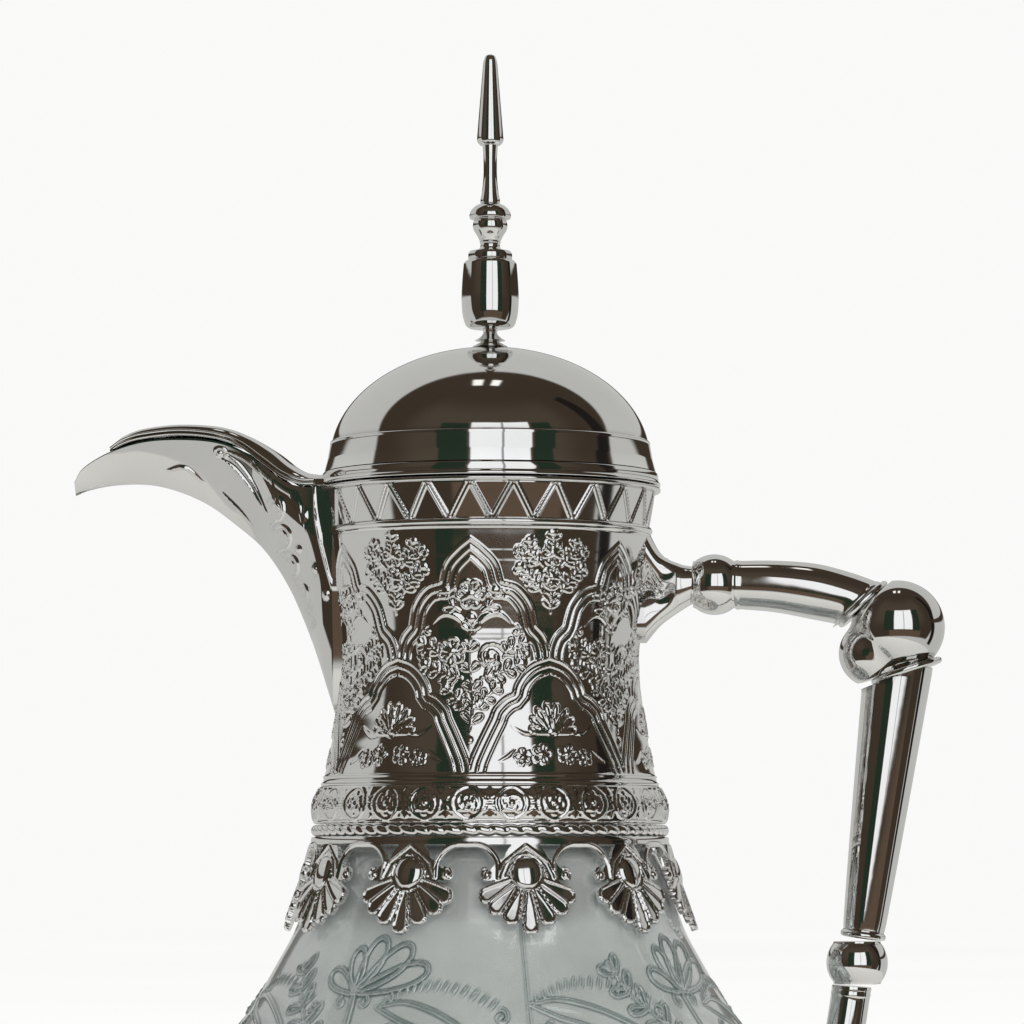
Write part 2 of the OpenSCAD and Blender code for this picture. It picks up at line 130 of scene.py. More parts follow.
def resampled(points, step):
    """The polyline with a point about every step along it."""
    p = np.asarray(points, float)
    run = np.concatenate([[0], np.cumsum(np.linalg.norm(np.diff(p, axis=0), axis=1))])
    s = np.linspace(0, run[-1], max(2, int(run[-1] / step) + 1))
    return np.column_stack([np.interp(s, run, p[:, i]) for i in range(p.shape[1])])


def along(points):
    """Unit directions along a line."""
    way = np.gradient(np.asarray(points, float), axis=0)
    return way / (np.linalg.norm(way, axis=1)[:, None] + 1e-9)


def offset(points, distance):
    """The 2-D polyline moved sideways, to its left for a positive distance."""
    way = along(points)
    return np.asarray(points, float) + distance * np.column_stack([-way[:, 1], way[:, 0]])


def arc(centre, radius, start, end, steps=16):
    """Points on a circle, with angles in degrees. radius may be a pair, for a spiral."""
    a = np.radians(np.linspace(start, end, steps))
    r = np.linspace(radius[0], radius[1], steps) if isinstance(radius, tuple) else radius
    return np.column_stack([centre[0] + r * np.cos(a), centre[1] + r * np.sin(a)])


def placed(base, angle, ahead, across):
    """2-D points that far ahead of base and across, when looking along angle degrees."""
    c, s = math.cos(math.radians(angle)), math.sin(math.radians(angle))
    ahead = np.asarray(ahead, float)
    return np.column_stack([base[0] + ahead * c - across * s, base[1] + ahead * s + across * c])


def sided(points, side, middle=0):
    """2-D points to the right of middle for side 1, mirrored to its left for -1."""
    return [(middle + side * x, y) for x, y in points]


def radial(r, theta, z):
    """Points at radius r and height z, turned by theta."""
    return np.stack(np.broadcast_arrays(r * np.cos(theta), r * np.sin(theta), z), axis=-1)


def slant(turn):
    """Direction in the plane of spout and handle, turned up from +X by so many degrees."""
    return np.array([math.cos(math.radians(turn)), 0, math.sin(math.radians(turn))])


# ---------- Meshes ----------

def added(name, data):
    """A new object in the scene."""
    thing = bpy.data.objects.new(name, data)
    bpy.context.collection.objects.link(thing)
    return thing


def build(name, part, material, body, *nodes, sharp=32):
    """A smooth-shaded piece from (points in millimetres, faces), riding on body and standing for CAD nodes."""
    co, faces = part
    mesh = bpy.data.meshes.new(name)
    mesh.from_pydata((np.asarray(co, float) * MM).tolist(), [], np.asarray(faces).tolist()
                     if isinstance(faces, np.ndarray) else faces)
    mesh.polygons.foreach_set("use_smooth", np.ones(len(mesh.polygons), bool))
    mesh.set_sharp_from_angle(angle=math.radians(sharp))
    mesh.materials.append(material)
    piece = added(name, mesh)
    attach(piece, body)
    if nodes:
        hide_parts(*nodes)
    return piece


def grid_faces(rows, cols, wrap_rows=False):
    """Quads round a grid of rows x cols points, facing outwards for rows that go up and cols that turn left."""
    i = np.arange(rows if wrap_rows else rows - 1)[:, None]
    j = np.arange(cols)[None, :]
    i1, j1 = (i + 1) % rows, (j + 1) % cols
    return np.stack([i * cols + j, i * cols + j1, i1 * cols + j1, i1 * cols + j], axis=-1).reshape(-1, 4)


def lathe(profile, segments=96):
    """(points, faces) of a turned solid. The profile runs upwards on the outside."""
    a = np.linspace(0, 2 * PI, segments, endpoint=False)
    co, rings, faces = [], [], []
    for r, z in np.asarray(profile, float):
        count = segments if r >= 1e-6 else 1
        rings.append(len(co) + np.arange(segments) % count)
        co.extend(radial(r, a[:count], z))
    for low, high in zip(rings, rings[1:]):
        for face in zip(low, np.roll(low, -1), np.roll(high, -1), high):
            face = list(dict.fromkeys(int(v) for v in face))
            if len(face) > 2:
                faces.append(face)
    return np.array(co), faces


def aimed(part, at, way):
    """A lathe part moved so that its axis runs through at, along way."""
    z = np.array(way, float) / np.linalg.norm(way)
    y = np.array([0, 1, 0])
    return part[0] @ np.array([np.cross(y, z), y, z]) + np.array(at, float), part[1]


def loft(rings):
    """(points, faces) of a skin through closed rings of equal length, filled at both ends."""
    rings = np.asarray(rings, float)
    m, n = rings.shape[:2]
    faces = grid_faces(m, n).tolist()
    for first, way in ((0, 1), ((m - 1) * n, -1)):
        for k in range(n // 2 - 1):
            a, b, c, d = (first + v for v in (k, k + 1, n - 2 - k, n - 1 - k))
            faces += [[a, c, d][::way], [a, b, c][::way]]
    return rings.reshape(-1, 3), faces


def weld(piece, sharp):
    """Joins points that lie together, such as those where two repeats of a pattern meet."""
    mesh = bmesh.new()
    mesh.from_mesh(piece.data)
    bmesh.ops.remove_doubles(mesh, verts=mesh.verts, dist=0.00002)
    bmesh.ops.recalc_face_normals(mesh, faces=mesh.faces)
    mesh.to_mesh(piece.data)
    mesh.free()
    piece.data.set_sharp_from_angle(angle=math.radians(sharp))


# ---------- Embossing: height maps drawn with strokes ----------

class Panel:
    """A height map in millimetres over a rectangle, drawn with raised strokes, beads and petals.

    solid is above 0 where something was drawn, and says how far inside it a point is. With wrap, what crosses
    the left or right edge goes on at the other one."""

    def __init__(self, u, v, step=0.14, wrap=True):
        self.u = np.linspace(u[0], u[1], int(round((u[1] - u[0]) / step)) + 1)
        self.v = np.arange(v[0], v[1] + step, step)
        self.steps = np.array([self.u[1] - self.u[0], step])
        self.height = np.zeros((len(self.v), len(self.u)))
        self.solid = np.full(self.height.shape, -1.0)
        self.shifts = (0, u[1] - u[0], u[0] - u[1]) if wrap else (0,)

    def _window(self, low, high):
        """The part of the map between two corners: where it is, and its coordinates."""
        start = (self.u[0], self.v[0])
        cols, rows = (slice(max(0, int(a)), max(0, int(b) + 2))
                      for a, b in zip((low - start) / self.steps, (high - start) / self.steps))
        return (rows, cols), self.u[cols][None, :], self.v[rows][:, None]

    def _raise(self, where, rise, inside):
        for field, value in ((self.height, rise), (self.solid, inside)):
            field[where] = np.maximum(field[where], value)

    def stroke(self, points, width, height):
        """A raised line. width is its whole width, or a list of widths along it. Height 0 makes flat metal."""
        p = np.asarray(points, float)
        w = np.interp(np.linspace(0, 1, len(p)), np.linspace(0, 1, np.size(width)), np.atleast_1d(width)) / 2
        full, reach = np.max(width) / 2, w.max() + 0.6
        for shift in self.shifts:
            q = p + (shift, 0)
            for a, b, wa, wb in zip(q, q[1:], w, w[1:]):
                where, u, v = self._window(np.minimum(a, b) - reach, np.maximum(a, b) + reach)
                if u.size and v.size:
                    way = b - a
                    t = np.clip(((u - a[0]) * way[0] + (v - a[1]) * way[1]) / (way @ way + 1e-12), 0, 1)
                    away = np.hypot(u - a[0] - t * way[0], v - a[1] - t * way[1])
                    wide = wa + t * (wb - wa) + 1e-6
                    rise = height * (0.5 + 0.5 * np.cos(PI * np.clip(away / wide, 0, 1))) ** 0.8
                    self._raise(where, rise * np.clip(wide / full, 0, 1) ** 0.5, wide - away)

    def bead(self, at, radius, height):
        for shift in self.shifts:
            centre = np.array([at[0] + shift, at[1]])
            where, u, v = self._window(centre - radius - 0.6, centre + radius + 0.6)
            away = np.hypot(u - centre[0], v - centre[1]) / radius
            self._raise(where, height * np.sqrt(np.clip(1 - away ** 2, 0, 1)), radius * (1 - away))

    def petal(self, base, angle, length, width, height=0.4, line=0.55, fill=0.3):
        """A looped petal from base, pointing at angle degrees, with its rounder end away from base."""
        t = np.linspace(0, 2 * PI, 22)
        ahead = length * (1 - np.cos(t)) / 2
        across = width / 2 * np.sin(t) * (0.45 + 0.75 * ahead / length)
        self.stroke(placed(base, angle, ahead, across), line, height)
        if fill:
            self.stroke(placed(base, angle, [0, 0.8 * length], 0), [0.2, width * 0.5], height * fill * 2)

    def fan(self, base, start, end, count, length, width, height=0.4, line=0.5):
        """Petals spread from start to end degrees, the middle ones longest."""
        for angle in np.linspace(start, end, count):
            middle = 1 - abs(angle - (start + end) / 2) / (abs(end - start) + 1e-6)
            self.petal(base, angle, length * (0.64 + 0.36 * middle), width, height, line)

    def flower(self, at, radius, petals=6, height=0.45, turn=0):
        for k in range(petals):
            self.petal(at, turn + 360 * k / petals, radius, radius * 0.8, height, radius * 0.2)
        self.bead(at, radius * 0.3, height * 1.3)

    def sprig(self, points, pairs, length, width, height=0.42):
        """A stem with pairs of small leaves along it and a bud at its end."""
        p = smooth(points, 8)
        self.stroke(p, [0.7, 0.5], height * 0.8)
        way = np.gradient(p, axis=0)
        for k in range(pairs):
            n = int((k + 0.6) / pairs * (len(p) - 1))
            ahead = math.degrees(math.atan2(way[n, 1], way[n, 0]))
            for side in SIDES:
                self.petal(p[n], ahead + side * (48 + 9 * (k % 2)), length * (1 - 0.3 * k / pairs), width, height,
                           width * 0.36, 0)
        self.bead(p[-1], width * 0.7, height * 1.2)

    def finger(self, centre, angle, start, end, width, height=0.55, line=0.75):
        """A long hollow petal with a round tip, of even width, from start to end away from centre."""
        half = (width - line) / 2
        t = np.radians(np.linspace(-90, 90, 12))
        ahead = np.concatenate([[start, start + 4], end - line / 2 - half + half * np.cos(t), [start + 4, start]])
        across = half * np.concatenate([[-0.3, -0.75], np.sin(t), [0.75, 0.3]])
        self.stroke(placed(centre, angle, ahead, across), line, height)
        self.stroke(placed(centre, angle, [start, start + 2.5, end - width / 2], 0), [width * 0.7, width], 0)

    def leaf(self, points, width, height=0.4):
        """A leaf along a curve: a low wide body with a raised vein."""
        p = smooth(points, 5)
        self.stroke(p, [width * 0.2, width, width * 0.8, width * 0.1], height * 0.75)
        self.stroke(p, [0.1, width * 0.25, width * 0.25, 0.1], height * 1.2)

    def curl(self, at, radius, start, turn, width=0.6, height=0.4):
        """A spiral that winds in to a bead, from start through turn degrees."""
        self.stroke(arc(at, (radius, radius * 0.3), start, start + turn, 20), [width, width * 0.7], height)
        self.bead(at, radius * 0.36, height * 1.2)

    def hoops(self, lines):
        """Strokes right across the panel, as (height on the piece, width, rise)."""
        for level, width, rise in lines:
            self.stroke([(self.u[0] - 1, level), (self.u[-1] + 1, level)], width, rise)

    def softened(self, times=1):
        """The panel with its relief blurred a little."""
        for _ in range(times):
            h = np.pad(self.height, 1, mode="edge")
            self.height = (4 * h[1:-1, 1:-1] + h[:-2, 1:-1] + h[2:, 1:-1] + h[1:-1, :-2] + h[1:-1, 2:]) / 8
        return self

    def at(self, u, v, field=None):
        """Heights, or values of another field, at points between the map's own."""
        field = self.height if field is None else field
        x = np.clip((u - self.u[0]) / self.steps[0], 0, len(self.u) - 1.001)
        y = np.clip((v - self.v[0]) / self.steps[1], 0, len(self.v) - 1.001)
        j, i = x.astype(int), y.astype(int)
        fx, fy = x - j, y - i
        low = field[i, j] * (1 - fx) + field[i, j + 1] * fx
        return low * (1 - fy) + (field[i + 1, j] * (1 - fx) + field[i + 1, j + 1] * fx) * fy

    def solid_at(self, u, v):
        return self.at(u, v, self.solid)


# ---------- Materials ----------

def feed(tree, node, inputs):
    """Sets a node's sockets by name or number: to plain values, or to the outputs that feed them."""
    for key, value in inputs.items():
        if isinstance(value, bpy.types.NodeSocket):
            tree.links.new(value, node.inputs[key])
        else:
            node.inputs[key].default_value = value


def shade(tree, kind, output, inputs=None, **settings):
    """One output of a new shader node."""
    node = tree.nodes.new("ShaderNode" + kind)
    for key, value in settings.items():
        setattr(node, key, value)
    feed(tree, node, inputs or {})
    return node.outputs[output]


def new_material(name, slot):
    """A material, its node tree and its shader. slot is the record's slot of the same finish."""
    material = bpy.data.materials.new(name)
    material.use_nodes = True
    material["slot"] = slot
    return material, material.node_tree, material.node_tree.nodes["Principled BSDF"]


def noise(tree, scale, detail=4.0, roughness=0.5, stretch=(1, 1, 1)):
    """A noise field in object space, with that many features to the metre."""
    where = shade(tree, "Mapping", "Vector", {"Scale": stretch, "Vector": shade(tree, "TexCoord", "Object")})
    return shade(tree, "TexNoise", "Fac", {"Scale": scale, "Detail": detail, "Roughness": roughness, "Vector": where})


def ramp(tree, fac, *stops):
    """A colour ramp of (position, colour) stops. A plain number stands for a grey."""
    node = tree.nodes.new("ShaderNodeValToRGB")
    elements = node.color_ramp.elements
    while len(elements) < len(stops):
        elements.new(0.5)
    for element, (position, colour) in zip(elements, stops):
        element.position = position
        element.color = (*(colour if isinstance(colour, tuple) else (colour,) * 3), 1)
    tree.links.new(fac, node.inputs["Fac"])
    return node.outputs["Color"]


def mixed(tree, fac, a, b, blend="MIX"):
    """Colour b over colour a, where each is a colour or an output."""
    a, b = ((*c, 1) if isinstance(c, tuple) else c for c in (a, b))
    return shade(tree, "Mix", "Result", {"Factor": fac, "A": a, "B": b}, data_type="RGBA", blend_type=blend)


def bump(tree, height, depth):
    """Fine surface texture, depth metres deep."""
    return shade(tree, "Bump", "Normal", {"Strength": 1.0, "Distance": depth, "Height": height})


def chrome(name, polish):
    """Bright plating: faint smudges, a colour darker in the relief's hollows and lighter on its ridges, and a barely
    wavy surface.
    """
    material, tree, shader = new_material(name, "chrome")
    smudge = noise(tree, 26, 5, 0.6)
    # Base colour darker in the relief's hollows and lighter on its ridges, going by the surface's pointiness
    hollow_ridge_tone = ramp(tree, shade(tree, "NewGeometry", "Pointiness"), (0.40, (0.416, 0.4134, 0.4056)),
                   (0.49, (0.80, 0.795, 0.78)), (0.60, (0.9, 0.9, 0.89)))
    clouds = ramp(tree, smudge, (0.30, 0.93), (0.55, 1.0))
    feed(tree, shader, {
        "Metallic": 1.0,
        "Base Color": mixed(tree, 1.0, hollow_ridge_tone, clouds, "MULTIPLY"),
        "Roughness": ramp(tree, smudge, (0.35, polish), (0.72, polish * 3.2)),
        "Normal": bump(tree, noise(tree, 90, 2), 0.00002)})
    return material


def frosted_glass(name):
    """Pressed grey-green glass with a faintly matt, uneven surface, and painted shade that darkens the relief's hollows
    and edges.
    """
    material, tree, shader = new_material(name, "glass")
    clouds = noise(tree, 38, 5, 0.6)
    tint = ramp(tree, clouds, (0.25, (0.70, 0.74, 0.73)), (0.6, (0.80, 0.83, 0.82)), (0.85, (0.88, 0.90, 0.89)))
    # Painted shade: the relief's hollows and raised edges are darkened in the base colour, going by the surface's
    # pointiness
    depth = ramp(tree, shade(tree, "NewGeometry", "Pointiness"), (0.470, (0.16, 0.24, 0.24)), (0.498, 1), (0.503, 1),
                 (0.53, (0.45, 0.52, 0.52)))
    feed(tree, shader, {
        "Transmission Weight": 0.80, "IOR": 1.46, "Coat Weight": 1.0, "Coat Roughness": 0.03,
        "Base Color": mixed(tree, 1.0, tint, depth, "MULTIPLY"),
        "Roughness": ramp(tree, clouds, (0.3, 0.07), (0.7, 0.16)),
        "Normal": bump(tree, noise(tree, 700, 3, 0.7), 0.00005)})
    return material


def brushed_steel(name):
    material, tree, shader = new_material(name, "steel")
    lines = noise(tree, 900, 3, stretch=(1, 1, 0.06))
    feed(tree, shader, {
        "Metallic": 1.0,
        "Base Color": ramp(tree, lines, (0.3, (0.50, 0.51, 0.52)), (0.7, (0.68, 0.69, 0.70))),
        "Roughness": ramp(tree, lines, (0.3, 0.22), (0.7, 0.38)),
        "Normal": bump(tree, lines, 0.00003)})
    return material


def moulded(name, slot, dark, light, roughness, grain, depth):
    """Plastic, silicone or rubber with a fine moulded grain."""
    material, tree, shader = new_material(name, slot)
    fine = noise(tree, grain, 3, 0.6)
    feed(tree, shader, {
        "Base Color": ramp(tree, noise(tree, 60), (0.3, dark), (0.7, light)),
        "Roughness": ramp(tree, fine, (0.3, roughness - 0.08), (0.7, roughness + 0.1)),
        "Normal": bump(tree, fine, depth)})
    return material


CHROME = chrome("chrome_plating", 0.035)
BRIGHT = chrome("chrome_plating_turned", 0.025)
GLASS = frosted_glass("pressed_glass")
FINISHES = {
    "steel": brushed_steel("brushed_steel"),
    "plastic": moulded("moulded_plastic", "plastic", (0.018, 0.018, 0.02), (0.032, 0.032, 0.035), 0.45, 900, 0.00004),
    "silicone": moulded("silicone", "silicone", (0.66, 0.66, 0.62), (0.75, 0.75, 0.72), 0.5, 500, 0.00002),
    "rubber": moulded("foot_rubber", "rubber", (0.01, 0.01, 0.01), (0.022, 0.022, 0.022), 0.7, 1200, 0.00006),
}


# ---------- Relief on turned pieces ----------

def turned_relief(profile, heights, inner):
    """(points, faces) of a ring or sleeve: an outer skin raised by heights[row, column], and a plain inner skin.

    profile is the outside and inner the inside, both running upwards as [radius, height]."""
    profile, way = np.asarray(profile, float), along(profile)
    theta = np.linspace(0, 2 * PI, heights.shape[1], endpoint=False)
    outer = radial(profile[:, :1] + heights * way[:, 1:], theta, profile[:, 1:] - heights * way[:, :1])
    back = np.asarray(inner, float)[::-1]
    rings = np.concatenate([outer, radial(back[:, :1], theta, back[:, 1:])])
    return rings.reshape(-1, 3), grid_faces(len(rings), len(theta), wrap_rows=True)


def from_front(columns):
    """The angle of each column from the front, -Y, in degrees, growing towards +X."""
    return np.degrees(np.linspace(0, 2 * PI, columns, endpoint=False)) + 90


def repeated(panel, columns, rows, period, radius, phase=0.0):
    """Heights over [radius, height] rows x columns, of a panel that repeats every period degrees."""
    turn = (from_front(columns) - phase + period / 2) % period - period / 2
    return panel.at(*np.broadcast_arrays(np.radians(turn)[None, :] * radius, rows[:, 1:]))


# ---------- Neck: medallions, floral sprays and zigzag ----------

MEDALLIONS, ZIGZAGS, ROUNDELS, PALMETTES = 6, 24, 26, 10
NECK_R = 40.6


def medallion_panel():
    """One sixth of the neck: a cusped ogee medallion of three lines, its bouquet, and the sprays beside it."""
    half = math.radians(180 / MEDALLIONS) * NECK_R
    p = Panel((-half, half), (144, 213), 0.12)
    upper = [[(0, 207.2), (3.2, 204.6), (6.4, 201), (7.9, 196.2)],
             [(7.9, 196.2), (12, 194.8), (15.6, 190.6), (17.2, 185)],
             [(17.2, 185), (19.6, 182.6), (20.9, 179.6), (half, 176.8)]]
    lower = [[(half, 176.8), (17.2, 175.5), (14.1, 173.2), (11.9, 170.1), (11.1, 167.5)],
             [(11.1, 167.5), (8.6, 166.2), (6.2, 163.7), (5.2, 161.2)],
             [(5.2, 161.2), (2.8, 156.1), (0.7, 151), (0, 148.1)]]
    # The two inner lines pass from inside the medallion's top to outside its foot
    for inset, wide, tall in ((0, 1.0, 0.5), (1.9, 0.85, 0.42), (3.8, 0.75, 0.36)):
        for lobes, way in ((upper, -1), (lower, 1)):
            edge = np.vstack([offset(smooth(lobe, 6), way * inset) for lobe in lobes])
            edge = edge[(edge[:, 0] < half + 0.1) & (edge[:, 0] > -0.2)]
            for side in SIDES:
                p.stroke(edge * (side, 1), wide, tall)
    # Bouquet in the medallion
    p.sprig([(0, 158), (0.6, 166), (-0.5, 176), (0, 187)], 6, 3.6, 1.8)
    p.flower((0, 193), 3.6, 6, 0.5)
    p.flower((-5.4, 178.4), 3.5, 6, 0.5, 20)
    p.flower((5.2, 177), 1.9, 5, 0.5, 10)
    p.curl((5.2, 177), 3.8, 30, 480, 0.9, 0.5)
    p.bead((0, 155.6), 0.9, 0.45)
    for side in SIDES:
        p.leaf(sided([(0.4, 183), (3.4, 187), (7.4, 188), (11, 185.2)], side), 2.1)
        p.curl((11.8 * side, 183.7), 1.4, 90, -300 * side)
        p.flower((13.4 * side, 178), 1.9, 5, 0.42)
        for line, pairs, length, width in (
                ([(3, 188.8), (5.4, 190.8), (6.4, 194)], 2, 3.1, 1.6),
                ([(2.6, 171.6), (7.6, 173), (13.6, 175.4)], 4, 3.4, 1.7),
                ([(8.4, 177), (10.6, 179.4), (14.6, 181)], 3, 3, 1.5),
                ([(0.3, 163.6), (3.6, 166.2), (7.2, 169.6)], 3, 3, 1.5)):
            p.sprig(sided(line, side), pairs, length, width)
    # Diamond-shaped spray above the point where two medallions meet
    p.sprig([(half, 188.4), (half, 192), (half, 196)], 3, 3.0, 1.5)
    p.sprig([(half, 204), (half, 206), (half, 209)], 2, 2.6, 1.4)
    p.flower((half, 203.6), 3.0, 6, 0.5)
    p.flower((half, 197.6), 2.6, 6, 0.48, 15)
    for way in SIDES:
        p.sprig(sided([(2.6, 193.6), (5.2, 197), (8.8, 200.4)], way, half), 4, 3.1, 1.5)
        p.sprig(sided([(2.6, 200.4), (5, 203), (6.4, 207)], way, half), 3, 2.8, 1.4)
        p.flower((half + 8.2 * way, 204), 2.0, 5, 0.45)
        # Lotus over two wings, and a row of small flowers, inside the tent below it
        p.leaf(sided([(0, 156.2), (3.4, 158), (7.4, 157.2), (11, 159.4)], way, half), 1.9)
        p.flower((half + 3.4 * way, 152), 2.5, 5, 0.45)
        p.flower((half + 8.2 * way, 151.2), 2.2, 5, 0.42, 30)
        p.leaf(sided([(10, 153.4), (12, 151.4), (14.4, 150)], way, half), 1.3)
    for angle in np.linspace(10, 170, 8):
        p.petal((half, 157.6), angle, 6.2 + 1.8 * math.sin(math.radians(angle)), 2.3, 0.5, 0.6, 0.2)
    p.hoops(((144.9, 1.3, 0.4), (146.8, 0.9, 0.4), (210.6, 0.9, 0.4)))
    return p.softened()


def zigzag_panel(low, high):
    """One zigzag of the band: two thin parallel ridges that rise and fall between flat triangles."""
    half = math.radians(180 / ZIGZAGS) * 43
    p = Panel((-half, half), (low, high), 0.1)
    for side in SIDES:
        for shift in (-0.55, 0.55):
            p.stroke(sided([(shift, high + 0.3), (half + shift, low - 0.3)], side), 0.75, 0.4)
    return p


def neck_sleeve():
    """Waisted sleeve with the zigzag band and the lip on top."""
    columns = 1080
    low, high = levels("neck_sleeve")
    lip_r, lip_low = span("neck_sleeve")[1][0], high - 1.2
    zig_low = lip_low - 9.6
    skirt = [[43.4, low], [43.4, 137], [43.4, 143], [43.6, 144.2]]
    waist = resampled(smooth(WAIST, 5), 0.3)
    bead = arc((42.2, zig_low - 0.6), 0.9, -70, 70, 7)
    band = resampled([[41.8, zig_low], [43.5, lip_low - 0.2]], 0.3)
    lip = rounded([[43.5, lip_low], [lip_r, lip_low + 0.2], [lip_r, high], [44, high]], 0.45, 5)
    profile = np.vstack([skirt, waist, bead, band, lip])
    plain = [np.zeros((len(part), columns)) for part in (skirt, bead, lip)]
    heights = np.vstack([
        plain[0], repeated(medallion_panel(), columns, waist, 360 / MEDALLIONS, NECK_R),
        plain[1], repeated(zigzag_panel(zig_low, lip_low), columns, band, 360 / ZIGZAGS, 43), plain[2]])
    z = np.linspace(low, high, 26)
    inner = np.column_stack([np.interp(z, profile[:, 1], profile[:, 0]) - 1.8, z])
    build("neck_sleeve_embossed", turned_relief(profile, heights, inner), CHROME, "root", "neck_sleeve", sharp=60)


# ---------- Collar: scroll band, rope and lace ----------

def scroll_band():
    """Band of roundels with leaf curls in them, above the rope."""
    low, high = levels("scroll_band")
    period = 360 / ROUNDELS
    half, mid = math.radians(period / 2) * 47, low + 5.2
    p = Panel((-half, half), (low, high + 1))
    p.stroke(arc((0, mid), 4.1, 0, 360, 30), 0.75, 0.4)
    for turn in (0, 180):
        p.stroke(arc((0, mid), (3.0, 1.2), turn - 40, turn + 150, 14), [0.5, 1.0, 0.5], 0.4)
        for k in (10, 60, 110):
            p.petal(placed((0, mid), turn + k, [1.5], 0)[0], turn + k + 50, 1.9, 1.0, 0.38, 0.4)
    p.bead((0, mid), 0.7, 0.4)
    for up in SIDES:
        p.fan((half, mid + 0.6 * up), 90 * up - 60, 90 * up + 60, 3, 3.1, 1.3, 0.38, 0.45)
    p.hoops(((low + 0.6, 0.8, 0.4), (high - 0.7, 0.8, 0.35)))
    rows = resampled(smooth([[46.3, low + 0.1], [46.9, low + 2.4], [46.9, low + 5.2], [45.8, low + 8.1],
                             [44.6, high - 0.1]], 8), 0.3)
    heights = repeated(p.softened(), ROUNDELS * 32, rows, period, 47)
    inner = [[43.6, low + 0.1], [43.6, high - 0.1]]
    build("scroll_band_embossed", turned_relief(rows, heights, inner), CHROME, "root", "scroll_band", sharp=60)


def rope(name, node, centre_r, radius, beads, columns_each):
    """A ring that looks like a twisted cord: slanted beads side by side."""
    mid = sum(levels(node)) / 2
    theta = np.linspace(0, 2 * PI, beads * columns_each, endpoint=False)[None, :]
    turn = np.radians(np.linspace(-112, 112, 17))[:, None]
    reach = radius * (0.62 + 0.38 * np.abs(np.cos(beads * theta / 2 + 0.9 * np.sin(turn))) ** 0.55)
    back = radial(np.full((2, 1), centre_r - 0.6 * radius - 0.4), theta, mid + radius * np.array([[0.7], [-0.7]]))
    rings = np.concatenate([radial(centre_r + reach * np.cos(turn), theta, mid + reach * np.sin(turn)), back])
    faces = grid_faces(len(rings), theta.size, wrap_rows=True)
    build(name, (rings.reshape(-1, 3), faces), CHROME, "root", node, sharp=70)


def palmette_panel(low, high, half):
    """One hanging palmette: gable, boss, seven finger petals and a curl at each side. solid says where metal is."""
    p = Panel((-half, half), (low, high), 0.1)
    boss = (0, low + 17)
    at = boss[1]
    # Header that runs all the way round, and the rims of the arches
    p.hoops([(high - 0.4, 3, 0.25)])
    for side in SIDES:
        p.stroke(smooth(sided([(half, high - 1.9), (12, high - 2.1), (9.2, high - 3.8), (7.5, high - 6.6),
                               (7.4, high - 10.4)], side), 6), 1.3, 0.55)
        p.curl((10.4 * side, at - 0.6), 1.7, 100, -300 * side, 0.8, 0.5)
        p.bead((10.4 * side, at - 0.6), 1.0, 0.8)
        # Gable round the boss
        p.stroke(sided([(0, high - 2.2), (5.9, high - 6.6), (7.2, at - 0.6)], side), 1.0, 0.55)
        p.stroke(sided([(0, high - 4), (4.4, high - 7.4), (5.5, at - 1)], side), 0.6, 0.4)
        p.stroke(sided([(7, at + 1.6), (9.6, at - 1)], side), 2.0, 0)
        p.stroke(sided([(6, at + 2), (7, at - 2)], side), 2.6, 0)
    p.stroke([(0, high - 2), boss], 7, 0)
    p.stroke([(0, at + 2), (0, at - 2.4)], 12, 0)
    for angle, reach in ((270, 15.4), (248, 13.9), (292, 13.9), (227, 13.8), (313, 13.8), (209, 13.9), (331, 13.9)):
        p.finger(boss, angle, 4.6, reach, 4.1)
    p.stroke(arc(boss, 4.6, 0, 360, 48), 0.7, 0.5)
    p.bead(boss, 3.9, 1.3)
    return p.softened(2)


def snapped(panel, u, v, field):
    """Grid points near the outline of the solid area, moved on to it."""
    step = 0.1
    du = (panel.solid_at(u + step, v) - panel.solid_at(u - step, v)) / (2 * step)
    dv = (panel.solid_at(u, v + step) - panel.solid_at(u, v - step)) / (2 * step)
    cell = max(abs(u[0, 1] - u[0, 0]), abs(v[1, 0] - v[0, 0]))
    near = np.abs(field) < 0.75 * cell
    near[:, 0] = near[:, -1] = near[0] = near[-1] = False
    move = np.where(near, -field / np.maximum(du ** 2 + dv ** 2, 0.2), 0)
    move = np.clip(move, -0.6 * cell, 0.6 * cell)
    field[near] = 1e-6
    return u + move * du, v + move * dv


def open_edges(cells):
    """(row, column, row, column) of each edge with a kept cell on one side only, the cell on its left."""
    below, above = np.roll(cells, 1, axis=0), np.roll(cells, -1, axis=0)
    below[0] = above[-1] = False
    left, right = np.roll(cells, 1, axis=1), np.roll(cells, -1, axis=1)
    out = []
    for beyond, ends in ((below, (0, 0, 0, 1)), (above, (1, 1, 1, 0)), (left, (1, 0, 0, 0)), (right, (0, 1, 1, 1))):
        i, j = np.nonzero(cells & ~beyond)
        out.append(np.column_stack([i, j, i, j]) + ends)
    return np.concatenate(out)


